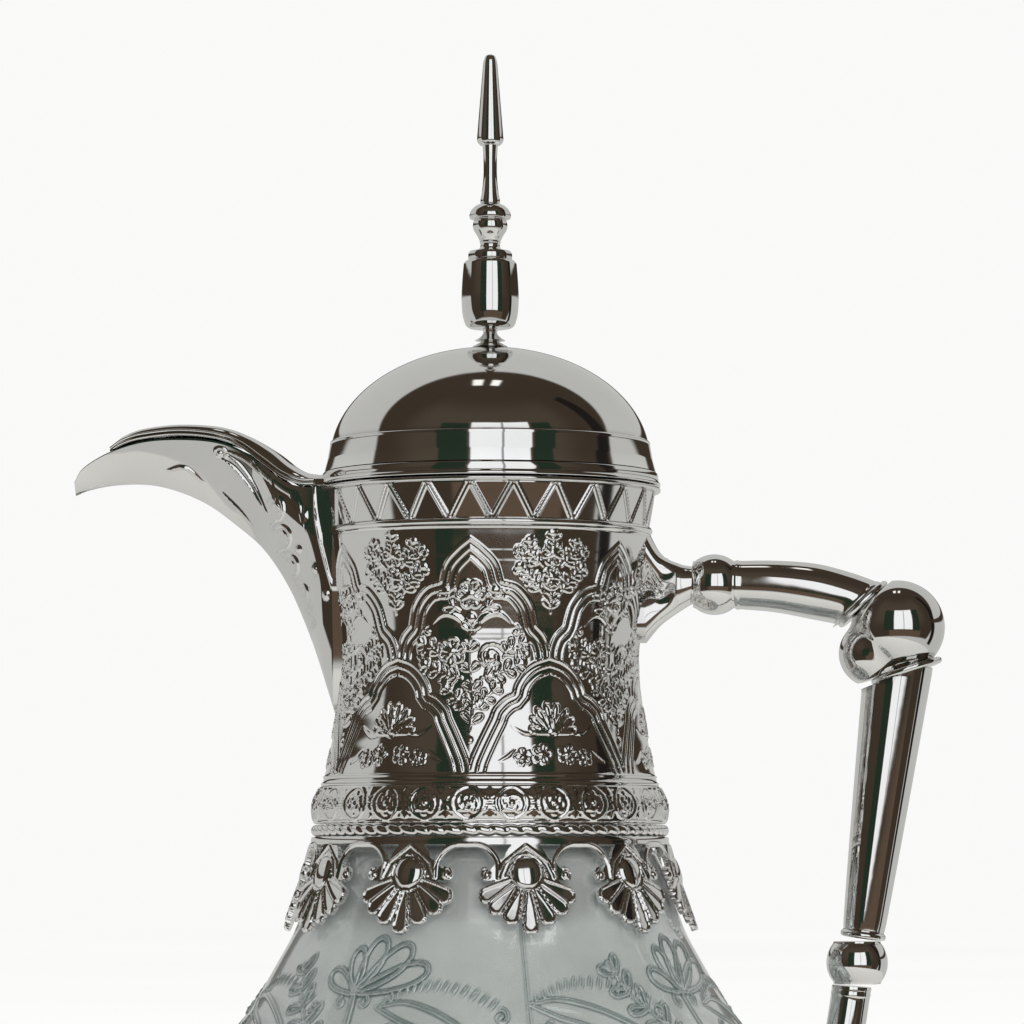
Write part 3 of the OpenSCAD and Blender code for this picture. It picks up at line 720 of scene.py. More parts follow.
def lace(name, node, panel, profile, period, phase, thick, columns_each, rows):
    """Pierced metal: the panel's solid area on both faces of a flared strip, with its edges closed.

    profile runs upwards as [radius, height], and its height is the panel's v."""
    profile = resampled(profile, (profile[-1][1] - profile[0][1]) / rows)
    way = along(profile)
    radius = (panel.u[-1] - panel.u[0]) / math.radians(period)
    u, v = np.meshgrid(np.linspace(panel.u[0], panel.u[-1] - 1e-6, columns_each + 1), profile[:, 1])
    field = panel.solid_at(u, v)
    u, v = snapped(panel, u, v, field)
    inside = (field > 0).astype(int)
    cells = inside[:-1, :-1] + inside[1:, :-1] + inside[:-1, 1:] + inside[1:, 1:] >= 3
    i, j = np.nonzero(cells)
    index = np.arange(u.size).reshape(u.shape)
    quads = np.stack([index[i, j], index[i, j + 1], index[i + 1, j + 1], index[i + 1, j]], axis=-1)
    edges = open_edges(cells)
    a, b = index[edges[:, 0], edges[:, 1]], index[edges[:, 2], edges[:, 3]]
    r, out_r, out_z = (np.interp(v, profile[:, 1], row) for row in (profile[:, 0], way[:, 1], -way[:, 0]))
    co, faces = [], []
    for k in range(round(360 / period)):
        theta = np.radians(phase + k * period - 90) + u / radius
        for rise in (panel.at(u, v), -thick):
            co.append(radial(r + rise * out_r, theta, v + rise * out_z).reshape(-1, 3))
        front = 2 * k * u.size
        back = front + u.size
        faces += [front + quads, back + quads[:, ::-1], np.stack([front + b, front + a, back + a, back + b], axis=-1)]
    co, faces = np.concatenate(co), np.concatenate(faces)
    used, where = np.unique(faces, return_inverse=True)
    weld(build(name, (co[used], where.reshape(faces.shape)), CHROME, "root", node, sharp=50), 50)


def lace_collar():
    low, high = levels("lace_collar")
    panel = palmette_panel(low, high, math.radians(180 / PALMETTES) * 50)
    edge_r = span("lace_collar")[1][0] - 0.2
    profile = smooth([[edge_r, low], [52, 114], [49.2, 122], [47.2, 129.6], [46.8, high]], 6)
    lace("lace_collar_pierced", "lace_collar", panel, profile, 360 / PALMETTES, 90, 1.2, 128, 106)


# ---------- Glass ----------

def glass_panel(low, high, half):
    """One quarter of the glass relief: a flower of loops on a stem, fringed garlands and scrolling leaves."""
    p = Panel((-half, half), (low, high), 0.15)
    base = (0, 91.6)
    p.stroke(smooth([(3, low), (2, 74), (1, 84), base], 8), [1.2, 2.0], 0.7)
    for angle, length, width in ((155, 11.5, 5), (106, 11.5, 5.4), (70, 14.5, 7), (38, 18.6, 7), (17, 21.5, 6.2)):
        p.petal(base, angle, length, width, 0.85, 1.0, 0)
    p.curl((3.6, 89.4), 1.6, 60, -260, 0.8, 0.7)
    p.curl((-3.2, 89.2), 1.6, 120, 260, 0.8, 0.7)
    for start, middle, end, top in ((9, 22, 39, 92.4), (49, 64, 83, 93.2)):
        swag = smooth([(start, top - 4.4), ((start + middle) / 2, top - 1), (middle, top),
                       ((middle + end) / 2, top - 1.2), (end, top - 5)], 7)
        for foot, tip in zip(swag[1::2], offset(swag, 2.6)[1::2]):
            p.stroke(smooth([foot, (foot + tip) / 2 + (0.5, 0), tip + (1.0, 0)], 3), [0.5, 0.8, 0.4], 0.6)
        p.curl((end + 1.6, top - 6.4), 1.9, 90, -330, 0.9, 0.7)
        # A scrolling leaf under each garland
        root, tip = (start - 1, top - 4.2), (end - 9, top - 21)
        for line in ([(start + 7, top - 3), (middle + 4, top - 6.2), (end - 5, top - 12), (end - 3, top - 18)],
                     [(start + 6, top - 7.4), (middle + 1, top - 11), (middle + 3, top - 16)]):
            p.stroke(smooth([root, *line, tip], 8), [0.5, 1.2, 1.0, 0.5], 0.8)
        p.curl((middle - 6, top - 15), 3.4, 60, 330, 0.9, 0.7)
        for k in range(4):
            p.petal((start + 4 + 5 * k, top - 8.6 - 2.4 * k), 235 + 8 * k, 6.4, 2.4, 0.7, 0.7, 0)
    # Leafy sprigs at the far side of the flower
    p.sprig([(-9, 76), (-13, 84), (-20, 91), (-24, 98)], 5, 6.5, 2.2, 0.75)
    p.sprig([(-4, 72), (-12, 70), (-20, 66), (-24, 62)], 4, 5.5, 2.2, 0.7)
    p.fan((44, 64), 20, 160, 6, 9, 3.4, 0.75, 0.8)
    return p.softened()


def glass_jug():
    """Pressed jug with its relief on the shoulder, and a floor inside and out."""
    rings = hull("glass_body", -1e9, 1e9, 1.2)
    floor_r = rings[0, 0]
    outer = smooth(rings, 5)
    columns, period, round_r, wall = 1080, 90, 62, 4
    low, high = 56, 108
    r, z = outer.T
    rows = np.vstack([outer[(z <= low) & (r > floor_r - 0.5)], resampled(outer[(z > low) & (z < high)], 0.4),
                      outer[z >= high]])
    panel = glass_panel(low, high, math.radians(period / 2) * round_r)
    heights = repeated(panel, columns, rows, period, round_r, -28)
    heights *= np.clip((rows[:, 1:] - low) / 4, 0, 1) * np.clip((high - rows[:, 1:]) / 1.5, 0, 1)
    # The mould's seam, on two sides
    seam = np.exp(-((from_front(columns) - 16) % 180 / 0.25) ** 2) * (rows[:, 1:] > low)
    heights = np.maximum(heights, 0.25 * seam)
    inner = offset(outer, wall)
    inner = inner[inner[:, 0] > 20][::3]
    inner[-1] = (outer[-1, 0] - wall, outer[-1, 1])
    co, faces = turned_relief(rows, heights, inner)
    faces = faces[:-columns].tolist()
    centre, last = len(co), len(co) - columns
    for a in range(columns):
        b = (a + 1) % columns
        faces += [[centre, b, a], [centre + 1, last + a, last + b]]
    co = np.vstack([co, [(0, 0, rows[0][1]), (0, 0, inner[0][1])]])
    build("glass_jug_pressed", (co, faces), GLASS, "root", "glass_body", sharp=60)


# ---------- Lid and finial ----------

def lid():
    """Dome with its ridge, and the rim ring that lands on the neck's lip."""
    low, high = levels("lid_dome")
    ridge, drop, wide, thick = low + 8.5, 5.0, 42.6, 1.8
    rise = high - ridge + drop
    skirt = [[44.1, low + 0.1], [43.2, low + 3.4], [42.5, ridge - 1.0], [42.55, ridge - 0.3], [42.1, ridge]]
    a = np.linspace(math.asin(drop / rise), PI / 2, 64)
    shell, under = (np.column_stack([(wide - t) * np.cos(a), ridge - drop + (rise - t) * np.sin(a)])
                    for t in (0, thick))
    shell[-1, 0] = under[-1, 0] = 0
    profile = np.vstack([rounded(skirt, 0.2), shell, under[::-2], [[40.2, ridge - 1], [42.2, low + 0.1], skirt[0]]])
    build("lid_dome_shell", lathe(profile, 256), BRIGHT, "lid", "lid_dome", sharp=40)
    low, high = levels("lid_rim")
    ring = [[36, 2.6], [42.4, 2.6], [42.4, 0.1], [44.2, 0.1], [45.25, 0.2], [45.25, 0.9], [44.7, 1.4], [44.75, 2.4],
            [44.5, 3.6], [41, 3.7], [41, high - low], [36, high - low], [36, 2.6]]
    ring = rounded([[r, low + z] for r, z in ring], 0.3)
    build("lid_rim_ring", lathe(ring, 256), BRIGHT, "lid", "lid_rim", sharp=40)


# Turned pieces on the rod: corner rounding, then [radius, share of the CAD node's height, own rounding] rows
FINIAL = {
    "finial_base": (0.25, [[4.3, 0], [4.7, 0.08, 0.1], [2.3, 0.40, 0.4], [4.1, 0.48, 0.1], [2.9, 0.66, 0.8],
                           [2.0, 0.9, 0.5], [1.9, 1]]),
    "finial_cup": (0.25, [[1.9, 0], [2.0, 0.05, 0.3], [6.3, 0.055, 2.2], [7.35, 0.2, 3], [7.7, 0.40, 3],
                          [7.4, 0.66, 3], [7.05, 0.84], [6.4, 0.875, 0.4], [5.7, 0.88, 0.3], [5.85, 0.9, 0.3],
                          [5.85, 0.955, 0.3], [5.4, 0.99, 0.3], [3.2, 1]]),
    "finial_spool": (0.25, [[3.4, 0], [2.7, 0.28, 0.5], [2.6, 0.5, 0.5], [2.65, 0.75, 0.5], [2.9, 1]]),
    "finial_bead": (0.3, [[2.7, 0], [3.4, 0.15, 0.6], [4.6, 0.33, 0.8], [4.6, 0.48, 0.5], [4.2, 0.585, 0.3],
                          [5.4, 0.6, 0.25], [5.6, 0.68, 0.6], [5.2, 0.82, 1.2], [4.0, 0.94, 1.2], [2.6, 1, 0.5]]),
    "finial_stem": (0.25, [[2.6, 0], [2.6, 0.05, 0.3], [2.2, 0.14, 1], [1.75, 0.36, 3], [1.8, 0.62, 3],
                           [2.2, 0.84, 1], [2.55, 0.95], [2.6, 1]]),
    "finial_tip": (0.3, [[2.6, 0], [3.45, 0.035, 0.5], [3.55, 0.07, 0.5], [3.3, 0.2, 3], [2.6, 0.55, 6],
                         [1.85, 0.92, 1], [1.3, 0.985, 0.5]]),
}


def finial():
    for node, (radius, rows) in FINIAL.items():
        low, high = levels(node)
        points = [[0, low]] + [[r, low + share * (high - low), *own] for r, share, *own in rows] + [[0, high]]
        build(node + "_turned", lathe(rounded(points, radius, 5)), BRIGHT, "lid", node, sharp=38)


# ---------- Spout ----------

def spout_panel():
    """Leaf relief of the spout's sides, as height over [x, z]."""
    p = Panel((-114, -36), (160, 242), wrap=False)
    # Volute with a tapering leaf of two lines, and the lines beside it
    p.curl((-71.6, 232.8), 2.0, -30, 330, 0.9, 0.45)
    for line in ([(-69.8, 232.6), (-66, 229.6), (-62, 224), (-58.7, 216.8)],
                 [(-71.0, 231.4), (-67.4, 228.6), (-63.0, 223.2), (-58.9, 216.8)],
                 [(-86.5, 228.8), (-81.4, 229.4), (-76.5, 225.3)], [(-71.4, 222.6), (-65.4, 216.2), (-59.8, 208.3)],
                 [(-70, 233.6), (-64.6, 231.2), (-58.6, 226.2), (-52, 221.4), (-44, 219.8)],
                 [(-45, 222), (-44.4, 214), (-42, 203), (-39, 192)]):
        p.stroke(smooth(line, 8), [0.4, 1.0, 0.9, 0.4], 0.55)
    # Soft acanthus lobes beside the neck
    for x, z, size in ((-56.4, 217.4, 2.9), (-55.0, 210.2, 3.1), (-53.2, 202.6, 3.0), (-50.4, 195.4, 2.7),
                       (-47.6, 189.2, 2.2)):
        p.stroke(arc((x, z), size, 150, -80, 18), [0.5, 1.3, 0.6], 0.5)
        p.stroke(arc((x + 0.3, z + 0.2), size * 0.45, 170, -60, 12), [0.4, 0.9, 0.4], 0.4)
        p.leaf([(x - 2.6, z - 4.2), (x + 0.6, z - 2.2), (x + 3.2, z + 0.8)], 1.7)
    for at in ((-47.7, 215.5), (-49.8, 206.9), (-45.2, 201.6), (-42, 194.7)):
        p.bead(at, 0.95, 0.6)
    p.leaf([(-52, 221), (-49.2, 217.6), (-48, 211.6)], 1.9, 0.45)
    p.leaf([(-49, 184), (-46.6, 178), (-44.6, 171)], 2.2)
    return p.softened()


def channel(s, wall, around, relief=None, boxy=None):
    """Rings of a U-shaped channel: out along its outside and back along its inside. boxy squares its corners.

    Rows of s are [rim x, rim z, keel x, keel z, half width]."""
    a = np.linspace(0, PI, around)
    # The first and last steps run straight down from the rim
    edge = 1e-6 if boxy else 0.16
    b = np.clip((a - edge) / (PI - 2 * edge), 0, 1) * PI
    side_way = (np.sign(np.cos(b)) * np.abs(np.cos(b)) ** (0.35 if boxy else 0.8))[None, :]
    # Pointed at the beak, so that its flanks look down, and rounder next to the neck
    round_by = np.clip((s[:, :1] + 47) / 4, 0, 1)
    upright = 0 if boxy else 0.03 + 0.25 * np.clip((s[:, :1] + 62) / 6, 0, 1)
    below = np.clip(np.minimum(a, PI - a) / edge, 0, 1)
    deep = upright * below + (1 - upright) * (1 - np.abs(side_way) ** (boxy or 1.4 + 1.4 * round_by))
    rim, keel, half = s[:, :2], s[:, 2:4], s[:, 4]

    def side(keel, half):
        x, z = (rim[:, k:k + 1] + deep * (keel - rim)[:, k:k + 1] for k in (0, 1))
        return np.stack([x, -half[:, None] * side_way, z], axis=-1)

    depth = np.linalg.norm(keel - rim, axis=1)
    keep = 1 - np.minimum(wall, 0.4 * depth) / depth
    outer = side(keel, half)
    inner = side(rim + keep[:, None] * (keel - rim), half - np.minimum(wall, 0.45 * half))
    if relief:
        normal = np.cross(np.gradient(outer, axis=1), np.gradient(outer, axis=0))
        normal /= np.linalg.norm(normal, axis=2)[:, :, None] + 1e-9
        if normal[len(s) // 2, around // 2, 2] > 0:
            normal = -normal
        flank = np.clip(2.2 * np.abs(np.cos(a)), 0, 1) ** 0.7
        outer = outer + normal * (relief.at(outer[:, :, 0], outer[:, :, 2]) * flank)[:, :, None]
    return np.concatenate([outer, inner[:, ::-1]], axis=1)


def tube(line, radius, around=8):
    """(points, faces) of a thin round cord along a line in space."""
    way = along(line)
    across = np.cross(way, (0, 1, 0))
    across /= np.linalg.norm(across, axis=1)[:, None]
    a = np.linspace(0, 2 * PI, around, endpoint=False)[None, :, None]
    return loft(line[:, None] + radius * (across[:, None] * np.cos(a) + np.cross(way, across)[:, None] * np.sin(a)))


def landed(ring, surface, side):
    """The ring pushed along X until it sinks 0.9 into an upright turned surface of [radius, height] rows."""
    radius = np.interp(ring[:, 2], surface[:, 1], surface[:, 0]) - 0.9
    return np.column_stack([side * np.sqrt(np.maximum(radius ** 2 - ring[:, 1] ** 2, 1)), ring[:, 1:]])


def spout():
    low, high = span("spout")
    sections = smooth([
        [low[0], 226.0, low[0], 222.4, 2.4], [-109.2, 229.8, -108, 223.9, 3.4], [-102, 233.8, -101, 225.1, 4.5],
        [-93, 236.4, -92, 225.1, 5.7], [-83, high[2] - 1.3, -84, 223.2, 6.9], [-73, 236.2, -76, 219.6, 8],
        [-66, 233.8, -69, 214.6, 9], [-59.5, 229.3, -61, 207.7, 10.3], [-54, 225.2, -54.5, 198.3, 11.8],
        [-49, 223.4, -49.5, 187.5, 13], [-44, 223.2, -44.5, 174, 14], [-40, 223.2, -41, 163, high[1]]], 20)
    rings = channel(sections, 1.6, 180, spout_panel())
    step = landed(rings[-1], WAIST, -1) - rings[-1]
    rings = np.concatenate([rings, [rings[-1] + step * t for t in np.linspace(0, 1, 10)[1:]]])
    build("spout_embossed", loft(rings), CHROME, "root", "spout", sharp=50)


def spout_cover():
    """Flat-topped cover that lies over the spout's channel and runs down to the lid's rim, with its cords."""
    sections = smooth([
        [-102, 234, -101.6, 236, 3.4], [-98.6, 235.5, -98.2, 238.3, 5], [-93, 236.9, -92.6, 240.1, 6.2],
        [-83, 237.7, -82.8, 241, 7.6], [-73, 236.7, -72, 240.2, 8.8], [-66, 234.3, -64.4, 237.7, 10],
        [-59.5, 229.8, -57.6, 233.8, 11.6], [-54, 225.8, -52.4, 229.8, 13], [-49, 223.8, -48, 227.5, 14.2],
        [-45, 223.6, -44.6, 226.8, 15]], 10)
    rings = channel(sections, 1.2, 96, boxy=7)
    dome = np.array([[44.9, 0], [44.9, 400]])
    rings = np.concatenate([rings, [landed(rings[-1], dome, -1)]])
    build("spout_cover_arched", loft(rings), BRIGHT, "lid", "spout_cover", sharp=50)
    for side in SIDES:
        for rise in (0.5, 1.5):
            line = np.array([(x, side * (half + 0.05), z + rise * min(1, (top - z) / 3))
                             for x, z, _, top, half in sections])
            build("cover_cord_%d_%d" % (side > 0, rise), tube(line, 0.32), BRIGHT, "lid")


# ---------- Handle ----------

# Where each collar stands beside the elbow, which way its upper face looks, and its radius
COLLARS = {"top_collar": (np.array([98.1, 0, 192.6]), slant(-47), 8.5),
           "bottom_collar": (np.array([109.7, 0, 175.2]), slant(-71.4), 9.7)}


def ellipse_rings(sections, around, shape):
    """Rings across a handle piece. shape(angle, share along) scales each point's distance from the centre.

    Rows of sections are [x, z] of one edge, [x, z] of the other, and the half width."""
    s = np.asarray(sections, float)
    a = np.radians(360 * (np.arange(around) + 0.5) / around)[None, :]
    mid, arm = (s[:, :2] + s[:, 2:4]) / 2, (s[:, :2] - s[:, 2:4]) / 2
    scale = shape(a, np.linspace(0, 1, len(s))[:, None])
    up, side = np.cos(a) * scale, np.sin(a) * scale
    return np.stack([mid[:, :1] + up * arm[:, :1], side * s[:, 4:5], mid[:, 1:] + up * arm[:, 1:]], axis=-1)


def ridged(*places):
    """A shape function with raised rings at (share along, half width, rise) places."""
    return lambda a, t: 0.97 + sum(np.exp(-((t - at) / wide) ** 2) * tall for at, wide, tall in places) + 0 * a


def scooped(a, t):
    """A hollow on both sides that deepens towards the far end."""
    return 1 - 0.9 * np.clip((t - 0.38) / 0.62, 0, 1) ** 0.9 * np.exp(-(np.cos(a) / 0.66) ** 4)


def leafy(a, t):
    """Flutes on both sides of a plain ridge."""
    return 1 - 0.12 * np.sin(PI * t) * (1 - np.exp(-(np.sin(a) / 0.3) ** 2)) * np.abs(np.sin(3 * a))


def ball(node, centre, way, half):
    """A turned ball between two flats, half away from its centre on each side, with a fine step at each."""
    radius = 8
    end = math.asin(half / radius)
    body = [[radius * math.cos(a), radius * math.sin(a)] for a in np.linspace(-end, end, 40)]
    neck = radius * math.cos(end)
    cap = [[0, half + 0.02], [neck + 0.35, half + 0.02], [neck + 0.45, half - 0.5]]
    profile = [[r, -z] for r, z in cap] + body[3:-3] + cap[::-1]
    build(node + "_turned", aimed(lathe(profile), centre, way), BRIGHT, "root", node, sharp=40)


def handle():
    """Leaf-shaped root, front ball, upper tube and the elbow's collars."""
    low, high = span("front_ball")
    mid, half = (low + high) / 2, (high[0] - low[0]) / 2
    # Root: two arms that spread to the neck with a scooped leaf between them
    sections = smooth([[low[0] - 0.05, 202.2, low[0] - 0.05, 192.5, 4.8], [50.6, 202.9, 50.6, 190.4, 5.2],
                       [45.6, 205.6, 45.6, 186.8, 6.8], [41.5, 213, 41.5, 182, 9.5]], 14)
    rings = ellipse_rings(sections, 128, scooped)
    rings = np.concatenate([rings, [landed(rings[-1], WAIST, 1)]])[:, ::-1]
    build("handle_root_leaf", loft(rings), CHROME, "root", "handle_root", sharp=50)
    ball("front_ball", (mid[0], 0, mid[2]), (1, 0, 0), half)
    # Upper tube: a collar at its front end, then a smooth swell towards the elbow
    sections = smooth([[high[0] + 0.1, 203.8, high[0] + 0.1, 190.8, 6.5], [76, 203.8, 75.6, 189.8, 7],
                       [86.6, 202.9, 85.2, 187.9, 7.5], [96, 200.4, 91.4, 186.6, 7.9],
                       [103.3, 197.7, 90.7, 185.9, 8.2]], 24)
    rings = ellipse_rings(sections, 96, ridged((0.01, 0.012, 0.03), (0.985, 0.02, 0.03)))
    build("upper_tube_swelled", loft(rings[:, ::-1]), BRIGHT, "root", "upper_tube", sharp=50)
    for node, (at, way, radius) in COLLARS.items():
        disc = [[0, 0], [radius - 0.5, 0], [radius, 0.4], [radius, 1.2], [radius - 0.5, 1.6], [0, 1.6]]
        build(node + "_turned", aimed(lathe(rounded(disc, 0.4)), at, way), BRIGHT, "root", node, sharp=40)


def elbow():
    """Two balls blended together, cut flat at the collars."""
    centres, radii, blend = np.array([[107.8, 0, 185.9], [101, 0, 179]]), (12.25, 8.75), 1.6
    origin = centres[0] * 0.75 + centres[1] * 0.25
    # A fine ball whose points are moved out along rays to the blended surface
    lats, longs = 120, 192
    theta = np.linspace(0, PI, lats)[:, None]
    phi = np.linspace(0, 2 * PI, longs, endpoint=False)[None, :]
    ray = radial(np.sin(theta), phi, np.cos(theta))
    low, high = np.zeros(ray.shape[:2]), np.full(ray.shape[:2], 30.0)
    for _ in range(40):
        mid = (low + high) / 2
        q = origin + ray * mid[:, :, None]
        big, small = (np.linalg.norm(q - c, axis=-1) - r for c, r in zip(centres, radii))
        h = np.clip(0.5 + 0.5 * (small - big) / blend, 0, 1)
        inside = small * (1 - h) + big * h - blend * h * (1 - h) < 0
        low, high = np.where(inside, mid, low), np.where(inside, high, mid)
    reach = (low + high) / 2
    for node, side, gap in (("top_collar", 1, 1.7), ("bottom_collar", -1, 0.1)):
        at, way, _ = COLLARS[node]
        normal = side * way
        slope = ray @ normal
        limit = (at + normal * gap - origin) @ normal / np.minimum(slope, -1e-6)
        reach = np.minimum(reach, np.where(slope < -1e-6, limit, 1e9))
    co = (origin + ray * reach[:, :, None]).reshape(-1, 3)
    weld(build("elbow_knuckle", (co, grid_faces(lats, longs)[:, ::-1]), BRIGHT, "root", "elbow", sharp=35), 50)


def grip():
    """Tapered grip, lower ball, tail tube and the foot on the base."""
    top, low = np.array([107.9, 0, 176.4]), np.array([98.1, 0, 104.6])
    length = np.linalg.norm(top - low)
    way = (top - low) / length
    profile = [[0, 0], [5.2, 0], [5.9, 0.3, 0.3], [5.95, 1.3, 0.3], [5.3, 1.8, 0.4], [5.45, 2.8, 0.6]]
    profile += [[5.5 + 3.5 * (t ** 0.9), 3 + (length - 4.6) * t] for t in np.linspace(0.02, 0.97, 24)]
    profile += [[9.0, length - 1.6], [9.0, length], [0, length]]
    co, faces = aimed(lathe(rounded(profile, 0.3)), low, way)
    # Its upper end stops at the slanted collar
    at, normal, _ = COLLARS["bottom_collar"]
    over = (co - at - normal * 1.65) @ normal
    co = co - np.where(over < 0, -over / (-way @ normal), 0)[:, None] * way
    build("grip_tube_tapered", (co, faces), BRIGHT, "root", "grip_tube", sharp=40)
    ball_low, ball_high = levels("lower_ball")
    ball("lower_ball", (96.6, 0, (ball_low + ball_high) / 2), (0, 0, 1), (ball_high - ball_low) / 2)
    sections = smooth([[90, 92.6, 100.4, 91.8, 5.2], [88.4, 82.7, 98.8, 81.3, 5.2], [86, 70, 96.4, 68, 5.1],
                       [84.2, 58.7, 93.8, 56.3, 5]], 20)
    rings = ellipse_rings(sections, 72, ridged((0.02, 0.015, 0.03), (0.07, 0.015, 0.03), (0.97, 0.02, 0.03)))
    build("tail_tube_ringed", loft(rings), BRIGHT, "root", "tail_tube", sharp=50)
    sections = smooth([[84.2, 58.3, 93.8, 56, 5], [84, 53, 93.2, 47.5, 6], [83.4, 48.5, 89, 37.5, 8],
                       [81.6, 43, 79.5, 30.5, 9.5]], 14)
    rings = ellipse_rings(sections, 96, leafy)
    rings = np.concatenate([rings, [landed(rings[-1], outline("base_shell", 20, 44.1), 1)]])
    build("handle_foot_leaf", loft(rings), CHROME, "root", "handle_foot", sharp=50)


# ---------- Base ----------

def base_shell():
    """Shell that holds the belly, with tall pointed leaves round it."""
    bottom, thick = [[20, 8.05], [58, 8.05]], 1.8
    wall = smooth([[61, 8], [68, 13], [76, 23], [81, 33.5], [83, 44]], 10)
    lining = offset(np.vstack([bottom, wall]), thick)
    lining[:2] = (20, 9.9), (58, 9.9)
    half = 13.1
    p = Panel((-half, half), (10, 44.2), 0.2)
    p.leaf([(0, 14), (0, 22), (0, 30), (0, 38.5)], 9, 0.7)
    for side in SIDES:
        p.stroke(smooth(sided([(0, 39.6), (6, 33), (7.4, 24), (4, 15)], side), 6), 1.1, 0.7)
        p.curl((half * side, 33), 3, 90, 300 * side, 1, 0.6)
    p.leaf([(half, 14), (half, 20), (half, 27)], 4.4, 0.6)
    p.hoops((level, 1.1, 0.5) for level in (12.6, 41.8, 43.2))
    rows = np.vstack([bottom, resampled(wall, 0.45)])
    heights = repeated(p.softened(2), 480, rows, 20, 75) * np.clip((rows[:, 1:] - 11) / 2, 0, 1) * 0.8
    part = turned_relief(rows, heights, resampled(lining, 2))
    build("base_shell_embossed", part, CHROME, "root", "base_shell", sharp=60)


def base_lace():
    """Standing palmettes round the shell's edge."""
    low, high = levels("base_lace")
    p = Panel((-13, 13), (low, high))
    p.hoops(((low + 1, 3, 0.3), (low + 0.6, 0.9, 0.5)))
    root = (0, low + 1.2)
    for angle, length, width in ((90, 13.4, 4.6), (62, 12.6, 4.2), (118, 12.6, 4.2), (34, 11.2, 3.8), (146, 11.2, 3.8)):
        p.petal(root, angle, length, width, 0.5, 0.7, 0.3)
        p.stroke(placed(root, angle, [0, length - 2.2], 0), [3, width + 0.9], 0)
    p.bead((0, low + 2.6), 2.1, 1.2)
    for side in SIDES:
        p.curl((13 * side, low + 3.4), 1.8, 270, 270 * side, 0.9, 0.5)
    profile = smooth([[82.9, low], [82.5, 51], [81.5, 56], [79.9, high]], 4)
    lace("base_lace_pierced", "base_lace", p, profile, 18, 0, 1.1, 72, 44)


def foot():
    low, high = levels("foot_ring")
    r = span("foot_ring")[1][0]
    ring = [[54.1, low + 0.02], [r - 0.6, low + 0.02], [r, low + 0.6], [r, low + 1.4], [r - 1.2, low + 2, 0.5],
            [r - 2.6, low + 3.6, 1], [62.4, high - 1.4, 0.6], [61.4, high - 0.1, 0.3], [54.1, high - 0.1],
            [54.1, low + 0.02]]
    build("foot_ring_turned", lathe(rounded(ring, 0.3), 240), BRIGHT, "root", "foot_ring", sharp=40)


# ---------- Studio ----------

DIM = (0.050, 0.037, 0.026)
PALE = (0.56, 0.56, 0.545)
LAMP = (1.2, 1.18, 1.12)
GREEN = (0.02, 0.034, 0.022)
# The dark half of the room: where the direction's dot product with this is over the number after it
DARK_SIDE, DARK_FROM = (0.177, -1, 0.502), 0.092
# Soft-edged areas of the room that shiny surfaces mirror: (azimuths, elevations), colour, edge softness.
# Azimuth is from the front, growing towards +X.
ROOM = [
    ((-181, 181, -90, -24), PALE, 2),
    ((-60, 70, 8, 60), (0.075, 0.058, 0.042), 14),
    ((-33, -10, -9.5, 38), GREEN, 1),
    ((40, 56, -9.5, 38), GREEN, 1),
    ((-8, 38, -7.6, 39), (1.05, 1.06, 1.08), 0.8),
    ((15.6, 17.4, -7.6, 39), (0.35, 0.34, 0.36), 0.3),
    ((-20, 60, -24, -9.5), (0.115, 0.078, 0.055), 2),
    ((92, 104, -30, 60), (0.015, 0.013, 0.012), 1.5),
    ((95, 181, 7.2, 13), DIM, 0.8),
    ((-181, -74, 7.2, 13), DIM, 0.8),
]
# Two ceiling lamps, as (lowest x, highest x, lowest y, highest y) of the direction towards them
LAMPS = [(-0.13, -0.06, 0.02, 0.16), (0.0, 0.06, 0.02, 0.16)]


def patch(tree, x, y, box, soft):
    """1 where x and y are inside a box of (lowest x, highest x, lowest y, highest y), 0 outside, soft edges."""
    out = None
    for value, edge, sign in zip((x, x, y, y), box, (1, -1, 1, -1)):
        limits = {"Value": value, "From Min": edge - sign * soft, "From Max": edge + sign * soft}
        step = shade(tree, "MapRange", "Result", limits, interpolation_type="SMOOTHSTEP")
        out = shade(tree, "Math", "Value", {0: out, 1: step}, operation="MULTIPLY") if out else step
    return out


def world():
    """Soft white light for matt surfaces, and a room with a window for shiny ones."""
    world = bpy.data.worlds.new("studio")
    bpy.context.scene.world = world
    world.use_nodes = True
    world.cycles.sampling_method = "NONE"
    tree = world.node_tree
    tree.nodes.clear()

    def maths(operation, *values):
        return shade(tree, "Math", "Value", dict(enumerate(values)), operation=operation)

    way = shade(tree, "TexCoord", "Generated")
    x, y, z = (shade(tree, "SeparateXYZ", axis, {"Vector": way}) for axis in "XYZ")
    azimuth = maths("DEGREES", maths("ARCTAN2", x, maths("MULTIPLY", y, -1.0)))
    elevation = maths("DEGREES", maths("ARCSINE", z))
    facing = shade(tree, "VectorMath", "Value", {0: way, 1: DARK_SIDE}, operation="DOT_PRODUCT")
    room = mixed(tree, patch(tree, facing, elevation, (DARK_FROM, 9, -99, 99), 0.03), PALE, DIM)
    for box, colour, soft in ROOM:
        room = mixed(tree, patch(tree, azimuth, elevation, box, soft), room, colour)
    for box in LAMPS:
        overhead = maths("GREATER_THAN", elevation, 45.0)
        room = mixed(tree, maths("MULTIPLY", patch(tree, x, y, box, 0.012), overhead), room, LAMP)
    seen = mixed(tree, shade(tree, "LightPath", "Is Glossy Ray"), (0.98, 0.98, 0.97), room)
    through = mixed(tree, 0.5, room, (0.80, 0.82, 0.81))
    seen = mixed(tree, shade(tree, "LightPath", "Is Transmission Ray"), seen, through)
    seen = mixed(tree, shade(tree, "LightPath", "Is Camera Ray"), seen, (0.95, 0.95, 0.945))
    output = tree.nodes.new("ShaderNodeOutputWorld")
    feed(tree, output, {"Surface": shade(tree, "Background", "Background", {"Color": seen})})


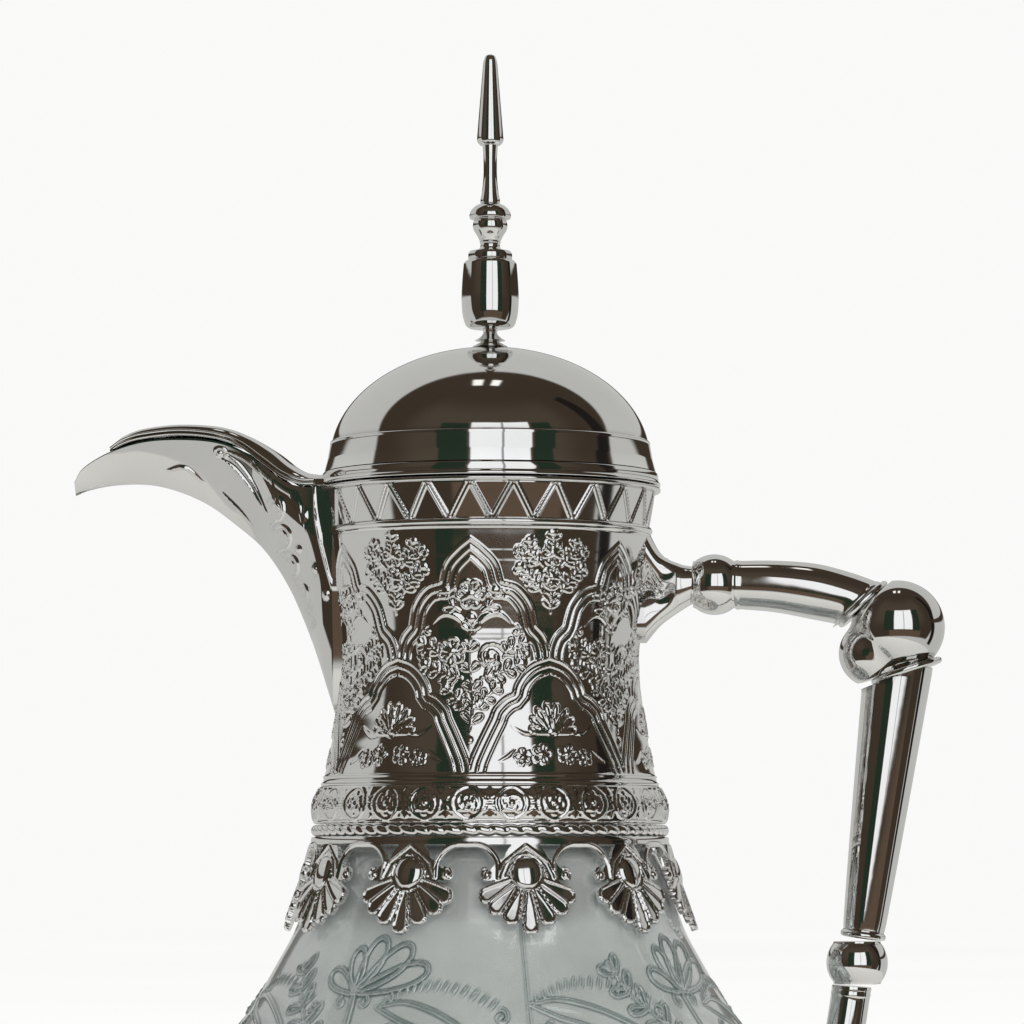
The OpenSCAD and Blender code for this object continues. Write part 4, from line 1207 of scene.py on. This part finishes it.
def floor():
    """Pale floor, which shiny surfaces see as grey as the rest of the room, and only near the pot."""
    material, tree, shader = new_material("studio_floor", "floor")
    pale = ramp(tree, noise(tree, 1.2, 2), (0.3, (0.96, 0.96, 0.955)), (0.7, (0.98, 0.98, 0.975)))
    feed(tree, shader, {
        "Base Color": mixed(tree, shade(tree, "LightPath", "Is Glossy Ray"), pale, PALE),
        "Specular IOR Level": 0, "Roughness": 0.6})
    sides = 96
    for name, inner, outer in (("floor_near", 0.001, 0.36), ("floor_far", 0.36, 6)):
        rings = radial(np.array([[inner], [outer]]), np.linspace(0, 2 * PI, sides, endpoint=False), 0)
        faces = grid_faces(2, sides)[:, ::-1].tolist()
        mesh = bpy.data.meshes.new(name)
        if name == "floor_near":
            faces.append(list(range(sides)))
        mesh.from_pydata(rings.reshape(-1, 3).tolist(), [], faces)
        mesh.materials.append(material)
        plane = added(name, mesh)
        if name == "floor_far":
            plane.visible_glossy = False
            plane.visible_transmission = False


def key_light():
    key = bpy.data.lights.new("key", "AREA")
    key.energy, key.size = 15, 0.9
    key.color = (1.0, 0.98, 0.95)
    lamp = added("key", key)
    lamp.location = (0.7, -1.1, 0.9)
    lamp.rotation_euler = (Vector((0, 0, 0.15)) - lamp.location).to_track_quat("-Z", "Y").to_euler()
    lamp.visible_glossy = False


def camera():
    """The photograph's view: a little towards the handle's side, level with the lower glass, looking up."""
    lens = bpy.data.cameras.new("camera")
    lens.lens, lens.sensor_width = 159.2, 36
    eye = added("camera", lens)
    azimuth, away, level = 7, 1.1993, 0.1276
    aside, pitch = 0.278, math.radians(4.27)
    turn = math.radians(azimuth)
    eye.location = (away * math.sin(turn), -away * math.cos(turn), level)
    turn = math.radians(azimuth - aside)
    view = Vector((-math.sin(turn) * math.cos(pitch), math.cos(turn) * math.cos(pitch), math.sin(pitch)))
    eye.rotation_euler = view.to_track_quat("-Z", "Y").to_euler()
    bpy.context.scene.camera = eye
    bpy.context.scene.view_settings.view_transform = "Standard"


def carried_over():
    """Finishes of the CAD nodes that stay as they are."""
    slots = {row["node"]: row["material_slot"] for row in frame["record"]["subparts"]}
    for node, piece in frame["nodes"].items():
        if not piece.hide_render:
            piece.data.materials.clear()
            piece.data.materials.append(FINISHES[slots[node]])
            piece.data.set_sharp_from_angle(angle=math.radians(30))


neck_sleeve()
scroll_band()
rope("rope_ring_twisted", "rope_ring", 45.65, 1.6, 72, 8)
lace_collar()
glass_jug()
lid()
finial()
spout()
spout_cover()
handle()
elbow()
grip()
base_shell()
rope_low, rope_high = span("base_rope")
rope("base_rope_twisted", "base_rope", rope_high[0] - 0.85, (rope_high[2] - rope_low[2]) / 2, 120, 6)
base_lace()
foot()
carried_over()
world()
floor()
key_light()
camera()
